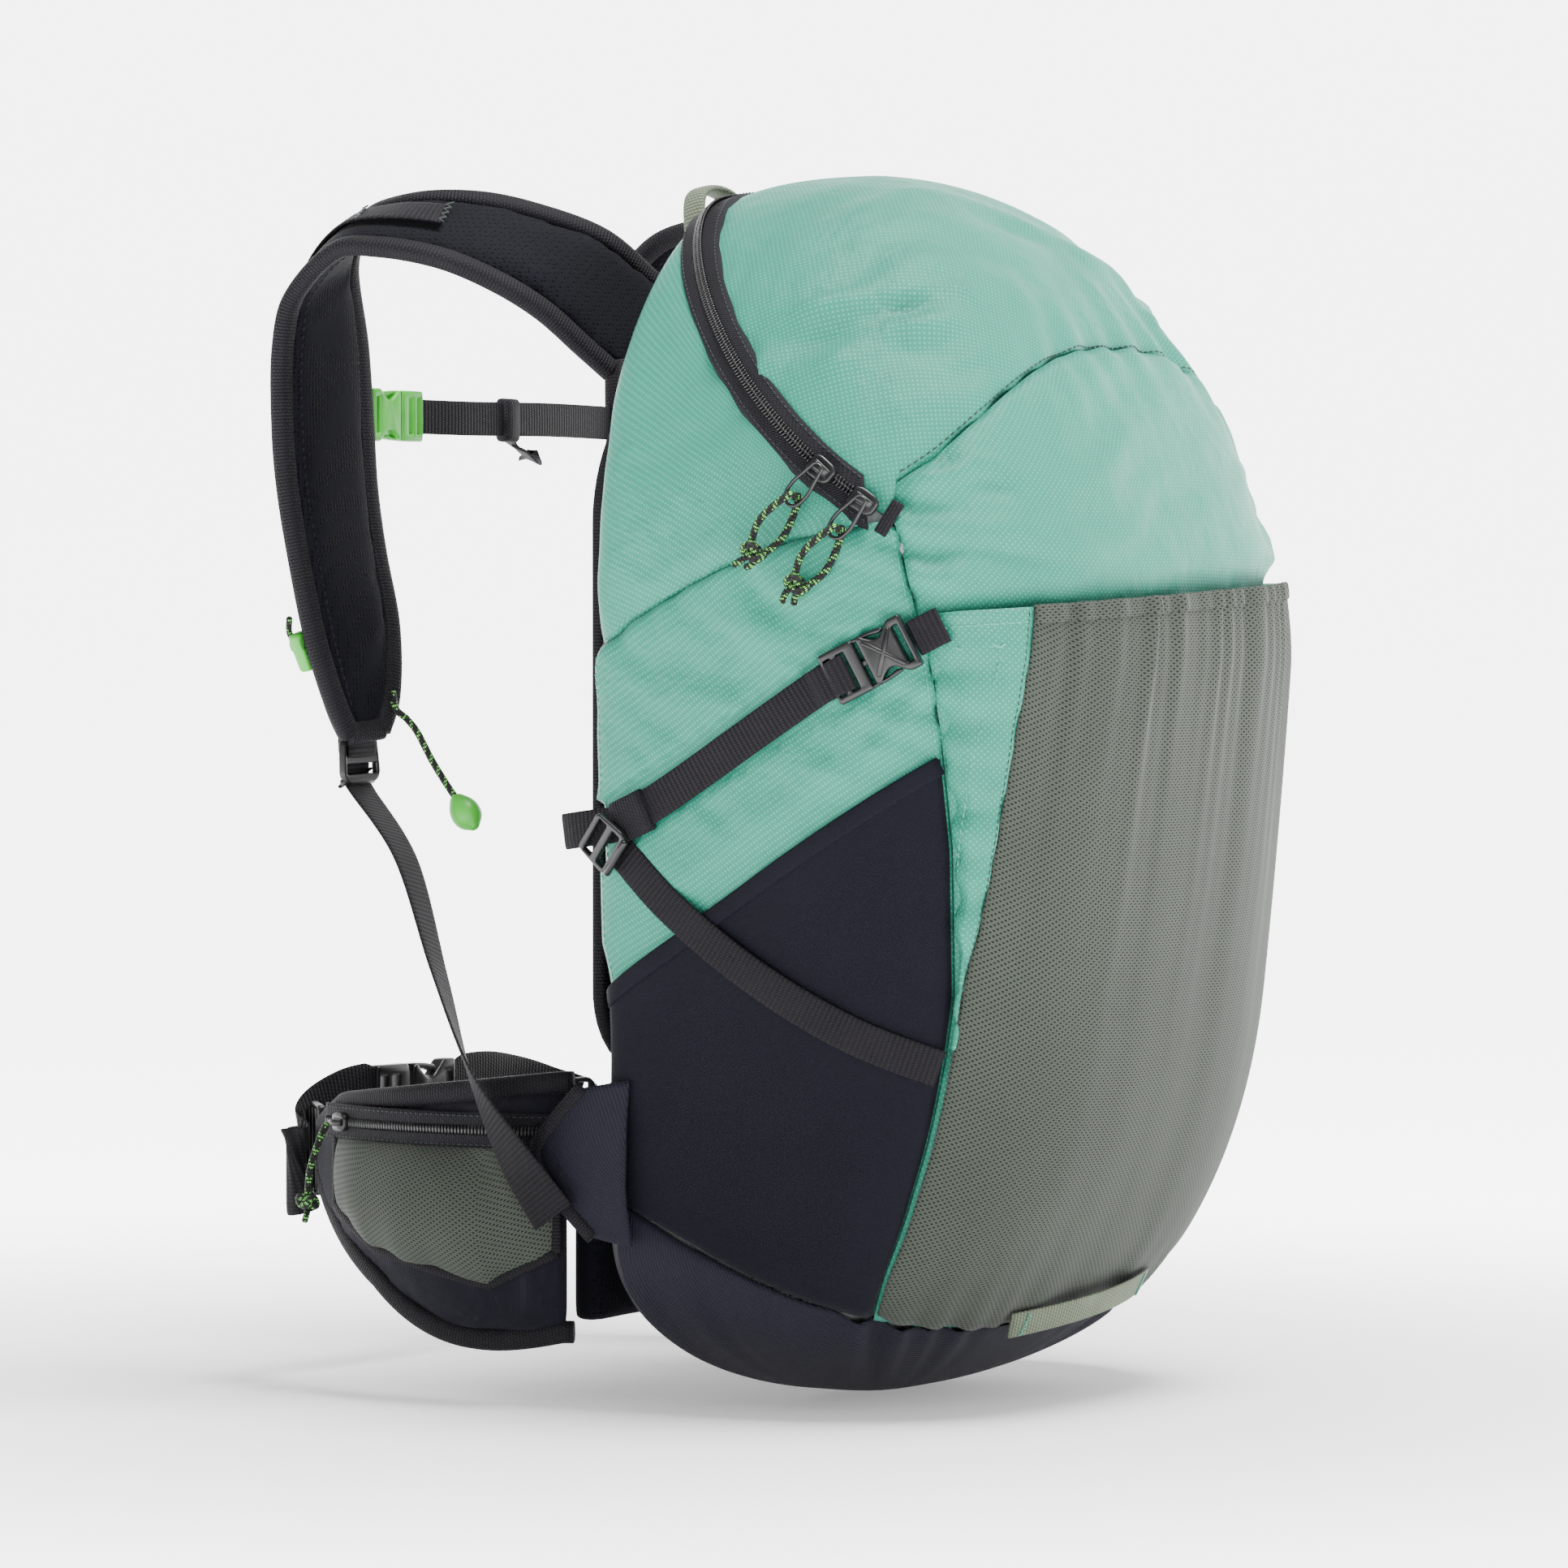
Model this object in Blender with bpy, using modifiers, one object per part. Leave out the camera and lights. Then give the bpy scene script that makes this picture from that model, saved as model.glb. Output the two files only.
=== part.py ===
"""A 25 litre hiking backpack, worn side towards +Y, outer face towards -Y, +Z up, in metres.

The pack is laid out from its base: z = 0 is the lowest point of the bag, y = 0 is the
rearmost plane of the bag, and x = 0 is the middle. "left" and "right" are the wearer's,
so left is -X. At the end everything hangs from one empty that puts the origin in the
middle of the back panel's face, where the wearer's back is.
"""

import math

import bmesh
import bpy
from mathutils import Matrix, Vector

# ---- driving dimensions -------------------------------------------------------------
HEIGHT = 0.505            # bag, base to top
MIDDLE = HEIGHT / 2
SPINE_Y = -0.058          # the bag's sections are drawn round this vertical line
HALF_WIDTH = 0.146        # at mid height
WIDTH_GAIN = 0.013        # more half width at the top than at mid height
FRONT_DEPTH = 0.146       # from the spine to the outer face
DEPTH_GAIN = 0.018
BACK_DEPTH = 0.058        # from the spine to the back
SIDE_POWER = 3.1          # how square the sections are, across
FRONT_POWER = 2.8         # towards the outer face
BACK_POWER = 7.5          # towards the back, nearly flat
CLOTH = 0.0022            # wall of the bag, coated cloth with its foam
GAP = 0.0004              # left between pieces that touch

HINGE_Z = 0.3290          # the lid folds forward here, just above the pocket's mouth
ZIP_END_Y, ZIP_END_Z = -0.147, 0.3595    # the zip's two ends
ZIP_SLOPE, ZIP_CURVE = 0.622, 2.98       # it rises from there, steeper towards the back
ZIP_END = 26.5            # degrees forward of the side at which the zip's tape ends
TAPE_WIDTH = 0.0085       # each half of the zip tape
BASE_LEVEL, BASE_SLOPE = 0.092, 0.47     # seam of the base panel: z = level + slope * y
SIDE_SEAM = 37.0          # degrees forward of the side where the front panel starts
POCKET_TOP = 0.3262       # mouth of the front pocket
POCKET_BULGE = 0.0085
SIDE_MOUTH_LEVEL, SIDE_MOUTH_SLOPE = 0.1588, -0.65   # mouth of a side pocket

PAD_THICK = 0.010         # back panel
PAD_FACE_Y = 0.0139
PANEL_LOW = 0.137         # the back panel ends here, above the lumbar pad
LUMBAR_OUT = 0.0097       # the lumbar pad stands this far proud of the back panel
MOUNT_Z = 0.245           # where the wearer's back meets the panel
WEB_THICK = 0.0016
NARROW_WEB = 0.015        # compression and sternum webbing
STRAP_WEB = 0.020         # lower shoulder strap webbing
BELT_WEB = 0.038
STRAP_THICK = 0.011
WAIST_CENTRE = (0.008, 0.062)    # centre of the left wing's arc, mirrored for the right
WAIST_RADIUS = 0.146
WING_THICK = 0.010
CORD = 0.003

LIFT = 0.0018             # panels lie this far outside the bag's faceted wall
BACK_STEPS = (0, 2.5, 7, 13, 22, 35, 50, 70)        # degrees round a quarter of the bag
FRONT_STEPS = (9, 18, 27.5, 36, 47, 60, 75, 90)
SIDES = {"left": -1, "right": 1}

# ---- scene and materials ------------------------------------------------------------
for old in list(bpy.data.objects):
    bpy.data.objects.remove(old, do_unlink=True)
PACK = bpy.data.collections.new("hiking_backpack")
CUTTERS = bpy.data.collections.new("cutters")
for group in (PACK, CUTTERS):
    bpy.context.scene.collection.children.link(group)


def material(name, colour, roughness, metallic=0.0):
    made = bpy.data.materials.new(name)
    made.use_nodes = True
    shader = made.node_tree.nodes["Principled BSDF"]
    shader.inputs["Base Color"].default_value = (*colour, 1)
    shader.inputs["Roughness"].default_value = roughness
    shader.inputs["Metallic"].default_value = metallic
    return made


MINT = material("mint_cloth", (0.19, 0.48, 0.36), 0.6)
MESH = material("grey_green_mesh", (0.16, 0.19, 0.14), 0.8)
STRETCH = material("black_stretch", (0.012, 0.012, 0.02), 0.75)
BASE_CLOTH = material("base_twill", (0.022, 0.022, 0.034), 0.7)
WEBBING = material("black_webbing", (0.02, 0.018, 0.02), 0.75)
LOOP_WEB = material("green_grey_webbing", (0.19, 0.23, 0.17), 0.8)
PADDING = material("strap_mesh", (0.018, 0.018, 0.026), 0.85)
PLASTIC = material("black_plastic", (0.012, 0.012, 0.013), 0.4)
GREEN = material("green_plastic", (0.12, 0.42, 0.07), 0.4)
ALUMINIUM = material("aluminium", (0.75, 0.76, 0.77), 0.35, 1.0)
SHEET = material("frame_sheet", (0.03, 0.03, 0.03), 0.5)
CORD_CLOTH = material("cord", (0.02, 0.025, 0.02), 0.7)


# ---- the bag's form -----------------------------------------------------------------
def cap(z, start, power):
    """1 below start, falling to 0 at the top of the bag."""
    share = min(max((z - start) / (HEIGHT - start), 0), 0.99999)
    return math.sqrt(1 - share**power)


def foot(z, start, power):
    """1 above start, falling to 0 at the base."""
    share = min(max((start - z) / start, 0), 0.99999)
    return math.sqrt(1 - share**power)


def reach(z):
    """Half width, front depth and back depth of the bag's section at height z."""
    above = (z - 0.25) / 0.25
    wide = (HALF_WIDTH + WIDTH_GAIN * above) * cap(z, 0.330, 2.07) * foot(z, 0.065, 2.0)
    front = (FRONT_DEPTH + DEPTH_GAIN * above) * cap(z, 0.300, 1.5) * foot(z, 0.173, 2.2)
    back = BACK_DEPTH * cap(z, 0.470, 3.0) * foot(z, 0.100, 3.2)
    return wide, front, back


def skin(angle, z, grow=0.0):
    """The point of the bag's outer surface at an angle round its spine (degrees, 0 at +X,
    90 at the back, -90 at the front) and height z, moved out by about grow."""
    wide, front, back = reach(z)
    c, s = math.cos(math.radians(angle)), math.sin(math.radians(angle))
    depth, power = (back, BACK_POWER) if s > 0 else (front, FRONT_POWER)
    x = math.copysign((wide + grow) * abs(c) ** (2 / SIDE_POWER), c)
    y = math.copysign((depth + grow) * abs(s) ** (2 / power), s) + SPINE_Y
    return Vector((x, y, z + grow * (z - MIDDLE) / MIDDLE))


def rising(level, slope):
    """A sloping plane, as the height it has over each y."""
    return lambda y: level + slope * y


def crossing(angle, plane, low=0.0005, high=HEIGHT - 0.0005, grow=0.0):
    """The height at which the surface at that angle crosses a plane."""
    for _ in range(40):
        z = (low + high) / 2
        point = skin(angle, z, grow)
        if point.z > plane(point.y):
            high = z
        else:
            low = z
    return low


def side_point(side, y, z, grow=0.0):
    """The point of the bag's side surface over (y, z), and the surface's normal there."""
    def place(y, z):
        wide, front, back = reach(z)
        depth, power = (back, BACK_POWER) if y > SPINE_Y else (front, FRONT_POWER)
        share = max(1 - (abs(y - SPINE_Y) / depth) ** power, 0)
        return Vector((side * wide * share ** (1 / SIDE_POWER), y, z))
    step = 0.001
    along_y = place(y + step, z) - place(y - step, z)
    along_z = place(y, z + step) - place(y, z - step)
    normal = along_y.cross(along_z).normalized() * side
    return place(y, z) + normal * grow, normal


HINGE_Y = skin(-90, HINGE_Z).y - 0.0003
FOLD_SLOPE = (ZIP_END_Z - HINGE_Z) / (ZIP_END_Y - HINGE_Y)
BASE_SEAM = rising(BASE_LEVEL, BASE_SLOPE)
SIDE_MOUTH = rising(SIDE_MOUTH_LEVEL, SIDE_MOUTH_SLOPE)


def lid_cut(off=0.0):
    """Where the lid parts from the bag: from the fold up to the zip's ends, then up the zip.
    off moves it along the surface's rise."""
    def height(y):
        t = max(y - ZIP_END_Y, 0)
        steep = off * math.sqrt(1 + (ZIP_SLOPE + 2 * ZIP_CURVE * t) ** 2)
        fold = HINGE_Z + FOLD_SLOPE * (y - HINGE_Y)
        return min(fold, ZIP_END_Z) + ZIP_SLOPE * t + ZIP_CURVE * t * t + steep
    return height


def zip_height(angle, off=0.0, grow=0.0):
    return crossing(angle, lid_cut(off), grow=grow)


def round_angles():
    """The angles of the bag's columns, close together where its corners are tight."""
    quarter = [-a for a in reversed(FRONT_STEPS)] + list(BACK_STEPS)
    return quarter + [90] + [180 - a for a in reversed(quarter)][:-1]


# ---- builders -----------------------------------------------------------------------
def add(name, mesh, paint, group=PACK):
    thing = bpy.data.objects.new(name, mesh)
    group.objects.link(thing)
    mesh.materials.append(paint)
    if group is CUTTERS:
        thing.hide_render = True
        thing.display_type = "WIRE"
    return thing


def grid(name, rows, paint, thick, outward=True, ring=False, pole=None, group=PACK):
    """A sheet through rows of points, given thickness by Solidify. ring closes each row on
    itself, and pole closes the last row with one point."""
    shape = bmesh.new()
    lines = [[shape.verts.new(p) for p in row] for row in rows]
    count = len(rows[0])
    for low, high in zip(lines, lines[1:]):
        for i in range(count if ring else count - 1):
            j = (i + 1) % count
            shape.faces.new((low[i], low[j], high[j], high[i]))
    if pole is not None:
        tip = shape.verts.new(pole)
        for i in range(count):
            shape.faces.new((lines[-1][i], lines[-1][(i + 1) % count], tip))
    mesh = bpy.data.meshes.new(name)
    shape.to_mesh(mesh)
    shape.free()
    thing = add(name, mesh, paint, group)
    wall = thing.modifiers.new("wall", "SOLIDIFY")
    wall.thickness = thick
    wall.offset = 1 if outward else -1
    return thing


def band(name, centres, directions, width, thick, paint):
    """A flat strap along centres, its width along directions, its thickness centred on them."""
    rows = [[p - d * width / 2, p + d * width / 2] for p, d in zip(centres, directions)]
    thing = grid(name, rows, paint, thick)
    thing.modifiers["wall"].offset = 0
    return thing


def smooth(points, steps):
    """A smooth curve through points (Catmull-Rom), with steps pieces between each two."""
    pts = [Vector(p) for p in points]
    pts = [pts[0] * 2 - pts[1], *pts, pts[-1] * 2 - pts[-2]]
    line = []
    for a, b, c, d in zip(pts, pts[1:], pts[2:], pts[3:]):
        for k in range(steps):
            t = k / steps
            line.append(0.5 * (2 * b + (c - a) * t + (2 * a - 5 * b + 4 * c - d) * t * t
                               + (3 * b - 3 * c + d - a) * t**3))
    return [*line, pts[-2]]


def tangents(line):
    ends = [line[0], *line, line[-1]]
    return [(c - a).normalized() for a, c in zip(ends, ends[2:])]


def block(name, size, matrix, paint, bevel=0.0006, group=PACK):
    """A box of that size, in the frame that matrix gives, with its edges rounded."""
    shape = bmesh.new()
    bmesh.ops.create_cube(shape, size=1)
    bmesh.ops.scale(shape, verts=shape.verts, vec=size)
    mesh = bpy.data.meshes.new(name)
    shape.to_mesh(mesh)
    shape.free()
    thing = add(name, mesh, paint, group)
    thing.matrix_world = matrix
    if bevel:
        edge = thing.modifiers.new("edge", "BEVEL")
        edge.width = bevel
        edge.segments = 1
    return thing


def boolean(thing, other, operation):
    cut = thing.modifiers.new(operation.lower(), "BOOLEAN")
    cut.operation = operation
    cut.object = other
    return thing


def tube(name, line, radius, paint, sides=2):
    """A round cord or wire along a line of points."""
    data = bpy.data.curves.new(name, "CURVE")
    data.dimensions = "3D"
    data.bevel_depth = radius
    data.bevel_resolution = sides
    data.use_fill_caps = True
    data.resolution_u = 1
    spline = data.splines.new("POLY")
    spline.points.add(len(line) - 1)
    for knot, p in zip(spline.points, line):
        knot.co = (*p, 1)
    thing = bpy.data.objects.new(name, data)
    PACK.objects.link(thing)
    data.materials.append(paint)
    return thing


def ball(name, centre, radii, paint, rings=8):
    shape = bmesh.new()
    bmesh.ops.create_uvsphere(shape, u_segments=12, v_segments=rings, radius=1)
    mesh = bpy.data.meshes.new(name)
    shape.to_mesh(mesh)
    shape.free()
    for v in mesh.vertices:
        v.co = Vector((v.co.x * radii[0], v.co.y * radii[1], v.co.z * radii[2]))
    thing = add(name, mesh, paint)
    thing.location = centre
    return thing


def frame_at(place, along, out):
    """A frame at place with its X along one direction and its Z out of a surface."""
    x = along.normalized()
    z = (out - x * out.dot(x)).normalized()
    y = z.cross(x)
    return Matrix.Translation(place) @ Matrix((x, y, z)).transposed().to_4x4()


def mirrored(point, side):
    """A point given for the left side, on the side asked for."""
    return Vector((-side * point[0], point[1], point[2]))


# ---- bag, lid and panels ------------------------------------------------------------
def shell_rows(angles, bottom, top, shares, grow=0.0):
    """Rows of points up the bag's surface between two heights, each a function of the angle."""
    return [[skin(a, bottom(a) + (top(a) - bottom(a)) * s, grow) for a in angles]
            for s in shares]


def hollow(name, rim_off, pole_z, count):
    """One half of the bag as a double wall: up the outside to the rim, and back inside."""
    angles = round_angles()
    shape = bmesh.new()
    lines = []
    shares = [(k / count) ** 2 * (1.6 - 0.6 * k / count) for k in range(1, count + 1)]
    for grow in (0.0, -CLOTH):
        rows = [[skin(a, pole_z + (zip_height(a, rim_off, grow) - pole_z) * share, grow)
                 for a in angles] for share in shares]
        lines += rows if grow == 0.0 else rows[::-1]
    inside_z = CLOTH if pole_z < MIDDLE else HEIGHT - CLOTH
    poles = [Vector((0, SPINE_Y, pole_z)), Vector((0, SPINE_Y, inside_z))]
    made = [[shape.verts.new(p) for p in line] for line in lines]
    for low, high in zip(made, made[1:]):
        for k in range(len(angles)):
            shape.faces.new((low[k - 1], low[k], high[k], high[k - 1]))
    for line, pole in ((made[0], poles[0]), (made[-1], poles[1])):
        tip = shape.verts.new(pole)
        for k in range(len(angles)):
            shape.faces.new((line[k - 1], line[k], tip))
    bmesh.ops.recalc_face_normals(shape, faces=shape.faces)
    mesh = bpy.data.meshes.new(name)
    shape.to_mesh(mesh)
    shape.free()
    return add(name, mesh, MINT)


def bag_and_lid():
    hollow("bag_shell", -GAP / 2, 0.0, 16)
    hollow("lid_shell", GAP / 2, HEIGHT, 8)


def base_panel():
    angles = round_angles()
    shares = [(k / 6) ** 1.5 for k in range(6, 0, -1)]
    rows = shell_rows(angles, lambda a: 0.0,
                      lambda a: crossing(a, BASE_SEAM, high=0.2), shares, LIFT)
    grid("base_panel", [row[::-1] for row in rows], BASE_CLOTH, 0.0014, True, True,
         Vector((0, SPINE_Y, -LIFT)))


def zip_tapes():
    quarter = [-ZIP_END] + [-a for a in (18, 9)] + list(BACK_STEPS)
    angles = quarter + [90] + [180 - a for a in reversed(quarter)]
    for name, near, far in (("zip_tape_lower", -TAPE_WIDTH, -0.0003),
                            ("zip_tape_upper", 0.0003, TAPE_WIDTH)):
        rows = [[skin(a, zip_height(a, off), LIFT) for a in angles]
                for off in (near, (near + far) / 2, far)]
        grid(name, rows, WEBBING, 0.0010)


def front_pocket():
    up = 12
    half = [-SIDE_SEAM] + [-a for a in FRONT_STEPS[4:]]
    angles = [-180 - a for a in half] + half[-2::-1]
    rows = []
    for j in range(up + 1):
        v = j / up
        row = []
        for angle in angles:
            u = (angle + 180 - SIDE_SEAM) / (180 - 2 * SIDE_SEAM)
            bottom = crossing(angle, BASE_SEAM, high=0.2) + 0.0035
            z = bottom + (POCKET_TOP - bottom) * v**1.3
            swell = math.sin(math.pi * min(max(u, 0), 1)) ** 0.6
            swell *= math.sin(math.pi * (0.06 + 0.6 * v**1.3))
            row.append(skin(angle, z, LIFT + POCKET_BULGE * swell))
        rows.append(row)
    grid("front_pocket", rows, MESH, 0.0009)


def side_pockets():
    up = 8
    angles = [22, 13, 7, 2.5, 0, -9, -18, -27.5, 1.5 - SIDE_SEAM]
    for word, side in SIDES.items():
        rows = []
        for j in range(up + 1):
            row = []
            for angle in angles if side > 0 else [180 - a for a in angles]:
                bottom = crossing(angle, BASE_SEAM, high=0.2) + 0.0035
                top = crossing(angle, SIDE_MOUTH, 0.1, 0.3)
                row.append(skin(angle, bottom + (top - bottom) * j / up, LIFT))
            rows.append(row if side < 0 else row[::-1])
        grid(f"side_pocket_{word}", rows, STRETCH, 0.0012)


# ---- back: panel, frame and sleeve --------------------------------------------------
def arch(width, bottom, top, shoulder, y):
    """Points round a tall plate with an arched top and rounded lower corners."""
    points = []
    for k in range(13):
        a = math.pi * k / 12
        points.append(Vector((width * math.cos(a), y, shoulder + (top - shoulder) * math.sin(a))))
    corner = 0.03
    for centre, turn in ((-width + corner, math.pi), (width - corner, 1.5 * math.pi)):
        for k in range(5):
            a = turn + math.pi / 2 * k / 4
            points.append(Vector((centre + corner * math.cos(a), y,
                                  bottom + corner + corner * math.sin(a))))
    return points


def plate(name, points, thick, paint):
    """A plate of that outline, lying in an XZ plane, growing towards +Y."""
    shape = bmesh.new()
    face = shape.faces.new([shape.verts.new(p) for p in points])
    if face.normal.y > 0:
        face.normal_flip()
    face.normal_update()
    side = bmesh.ops.extrude_face_region(shape, geom=[face])["geom"]
    moved = [v for v in side if isinstance(v, bmesh.types.BMVert)]
    bmesh.ops.translate(shape, verts=moved, vec=(0, thick, 0))
    bmesh.ops.recalc_face_normals(shape, faces=shape.faces)
    mesh = bpy.data.meshes.new(name)
    shape.to_mesh(mesh)
    shape.free()
    return add(name, mesh, paint)


def back_parts():
    plate("back_panel", arch(0.112, PANEL_LOW, 0.440, 0.360, PAD_FACE_Y - PAD_THICK), PAD_THICK,
          PADDING)
    inside = -0.0125
    plate("frame_sheet", arch(0.090, 0.075, 0.430, 0.370, inside), 0.0012, SHEET)
    plate("hydration_sleeve", arch(0.085, 0.110, 0.400, 0.350, inside - 0.0018), 0.0010, MINT)
    stay_y = inside - 0.0060
    stay = smooth([(-0.060, stay_y, 0.100), (-0.060, stay_y, 0.250), (-0.058, stay_y, 0.370),
                   (-0.030, stay_y, 0.418), (0.030, stay_y, 0.418), (0.058, stay_y, 0.370),
                   (0.060, stay_y, 0.250), (0.060, stay_y, 0.100)], 3)
    tube("frame_stay", stay, 0.0025, ALUMINIUM)


def loops():
    """The haul loop over the top of the back, and the light loop at the foot of the pocket."""
    half, crown = 0.020, 0.5045
    rise = [(-half, 0.0165, 0.4715), (-half, 0.0200, 0.488), (-0.013, 0.0240, 0.501),
            (0, 0.0255, crown), (0.013, 0.0240, 0.501), (half, 0.0200, 0.488),
            (half, 0.0165, 0.4715)]
    line = smooth(rise, 3)
    band("haul_loop", line, [Vector((0, 1, -0.15)).normalized()] * len(line), 0.009, 0.0030,
         LOOP_WEB)
    line = []
    for k in range(11):
        x, z = -0.038 + 0.0095 * k, 0.0300 + 0.0012 * k
        bow = 1 - ((k - 5) / 5) ** 2
        surface = skin(-90 + math.degrees(math.asin(x / 0.16)), z, 0.0128)
        line.append(Vector((x, surface.y - 0.0055 * bow, z)))
    band("light_loop", line, [Vector((0, -0.45, 0.9)).normalized()] * len(line), 0.012, 0.0014,
         LOOP_WEB)


# ---- zip sliders, pulls and cords ---------------------------------------------------
def on_zip(y):
    return side_point(-1, y, lid_cut()(y))


SLIDERS = {"rear": -0.1195, "front": -0.1365}


def slider_frame(y):
    """A frame on the zip at that y, on the left: X along the zip, Z out of the bag."""
    place, normal = on_zip(y)
    return place, (on_zip(y + 0.002)[0] - on_zip(y - 0.002)[0]).normalized(), normal


def sliders():
    pivots = {}
    for word, y in SLIDERS.items():
        place, along, normal = slider_frame(y)
        body = frame_at(place + normal * 0.0056, along, normal)
        block(f"zip_slider_{word}", (0.0105, 0.0085, 0.0042), body, PLASTIC, 0.0010)
        pivot = place + normal * 0.0110
        hang = Vector((-0.10, 0.66, -0.75)).normalized()
        out = Vector((-1, 0, 0))
        aside = hang.cross(out).normalized()
        wire = [pivot + aside * w + hang * d for w, d in
                ((-0.0022, 0.0), (-0.0034, 0.006), (-0.0044, 0.012), (-0.0034, 0.0175),
                 (0, 0.0196), (0.0034, 0.0175), (0.0044, 0.012), (0.0034, 0.006),
                 (0.0022, 0.0))]
        tube(f"zip_pull_{word}", smooth(wire, 2), 0.0008, PLASTIC)
        eye = pivot + hang * 0.0158
        down = Vector((-0.20, 0.56, -0.83)).normalized()
        half = [(0.0, 0.0, 0.0), (0.0026, 0.0006, -0.0006), (0.0036, 0.0018, 0.0030),
                (0.0030, 0.0046, 0.0120), (0.0020, 0.0050, 0.0190), (0.0004, 0.0024, 0.0275)]
        strand = [(out * w + aside * a + down * d, out * -w + aside * -a + down * d)
                  for w, a, d in half]
        loop = [eye + b for _, b in reversed(strand)] + [eye + f for f, _ in strand[1:]]
        tube(f"zip_cord_{word}", smooth(loop, 3), CORD / 2, CORD_CLOTH)
        pivots[word] = pivot
    return pivots


# ---- side-release buckles and webbing -----------------------------------------------
def buckle(prefix, place, along, out, web, paint):
    """A side-release buckle at place, the middle of its joint. along points from the plug
    to the socket. Both halves carry webbing as wide as web."""
    size = web / 0.015
    at = frame_at(place, along, out)

    def shift(x):
        return at @ Matrix.Translation((x * size, 0, 0))
    socket = block(f"{prefix}_socket", (0.020 * size, 0.0225 * size, 0.0068), shift(0.0105),
                   paint, 0.0014)
    mouth = block(f"{prefix}_mouth", (0.018 * size, 0.0165 * size, 0.0036), shift(0.0085),
                  paint, 0, CUTTERS)
    boolean(socket, mouth, "DIFFERENCE")
    plug = block(f"{prefix}_plug", (0.016 * size, 0.0215 * size, 0.0060), shift(-0.0085),
                 paint, 0.0014)
    tongue = block(f"{prefix}_tongue", (0.017 * size, 0.0155 * size, 0.0028), shift(0.0060),
                   paint, 0, CUTTERS)
    boolean(plug, tongue, "UNION")


def ladder(name, matrix, web, paint, slot=0.0045):
    """A ladder-lock: a plate with one wide slot for the webbing."""
    lock = block(name, (0.018, web + 0.006, 0.0034), matrix, paint, 0.0008)
    hole = block(f"{name}_slot", (slot, web + 0.001, 0.02), matrix, paint, 0, CUTTERS)
    boolean(lock, hole, "DIFFERENCE")


def over_side(side, path, lift, steps=4):
    """Points over the bag's side and the direction across the strap, from a path in (y, z)."""
    flat = smooth([(0, y, z) for y, z in path], steps)
    spots = [side_point(side, p.y, p.z, lift) for p in flat]
    line = [s[0] for s in spots]
    across = [t.cross(s[1]).normalized() for t, s in zip(tangents(line), spots)]
    return line, across


def compression_straps():
    for word, side in SIDES.items():
        socket, normal = side_point(side, -0.1385, 0.3035, 0.0052)
        ahead, _ = side_point(side, -0.1500, 0.3100, 0.0052)
        along = (ahead - socket).normalized()
        buckle(f"compression_{word}", socket, along, normal, NARROW_WEB, PLASTIC)
        line, across = over_side(side, [(-0.1690, 0.3210), (-0.1640, 0.3178)], 0.0062, 2)
        band(f"compression_stub_{word}", line, across, NARROW_WEB, WEB_THICK, WEBBING)
        line, across = over_side(side, [(-0.1225, 0.2955), (-0.090, 0.2745), (-0.055, 0.2530),
                                        (-0.032, 0.2405), (-0.022, 0.2370)], 0.0046)
        tip = line[-1] + Vector((-side * 0.003, 0.024, -0.003))
        line += [line[-1] * 0.5 + tip * 0.5 + Vector((side * 0.0015, 0, 0)), tip]
        across += [across[-1]] * 2
        band(f"compression_web_{word}", line, across, NARROW_WEB, WEB_THICK, WEBBING)
        line, across = over_side(side, [(-0.0280, 0.2245), (-0.050, 0.2040), (-0.085, 0.1790),
                                        (-0.125, 0.1560), (-0.1500, 0.1430)], 0.0052)
        band(f"lower_web_{word}", line, across, NARROW_WEB, WEB_THICK, WEBBING)
        place, normal = side_point(side, -0.0225, 0.2300, 0.0086)
        low, _ = side_point(side, -0.0380, 0.2150, 0.0075)
        block(f"web_lock_{word}", (0.0110, 0.0200, 0.0028),
              frame_at(place + normal * 0.0002, low - place, normal), PLASTIC, 0.0008)


# ---- shoulder straps ----------------------------------------------------------------
STRAP_OUTER = [(-0.100, 0.0230, 0.4350), (-0.116, 0.0330, 0.4500), (-0.132, 0.0450, 0.4620),
               (-0.146, 0.0638, 0.4722), (-0.155, 0.0898, 0.4778), (-0.158, 0.1121, 0.4770),
               (-0.158, 0.1350, 0.4580), (-0.157, 0.1429, 0.4348), (-0.156, 0.1439, 0.4015),
               (-0.155, 0.1420, 0.3748), (-0.153, 0.1374, 0.3447), (-0.149, 0.1315, 0.3111),
               (-0.141, 0.1265, 0.2850), (-0.132, 0.1245, 0.2715)]
STRAP_INNER = [(-0.042, 0.0240, 0.4680), (-0.062, 0.0360, 0.4850), (-0.084, 0.0573, 0.4960),
               (-0.102, 0.0776, 0.5010), (-0.112, 0.1035, 0.5005), (-0.112, 0.1282, 0.4930),
               (-0.105, 0.1430, 0.4720), (-0.097, 0.1430, 0.4368), (-0.095, 0.1415, 0.4030),
               (-0.095, 0.1395, 0.3758), (-0.095, 0.1351, 0.3486), (-0.098, 0.1260, 0.3179),
               (-0.106, 0.1205, 0.2900), (-0.114, 0.1210, 0.2735)]


STRAP_ANCHOR = (0.0235, 0.4520)          # (y, z) of the line both straps swing about
STRAP_WEB_ROUTE = [(-0.1300, 0.0930, 0.2203), (-0.1380, 0.0710, 0.1739),
                   (-0.1530, 0.0450, 0.1330), (-0.1540, 0.0250, 0.1030),
                   (-0.1500, 0.0060, 0.0760)]


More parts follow.
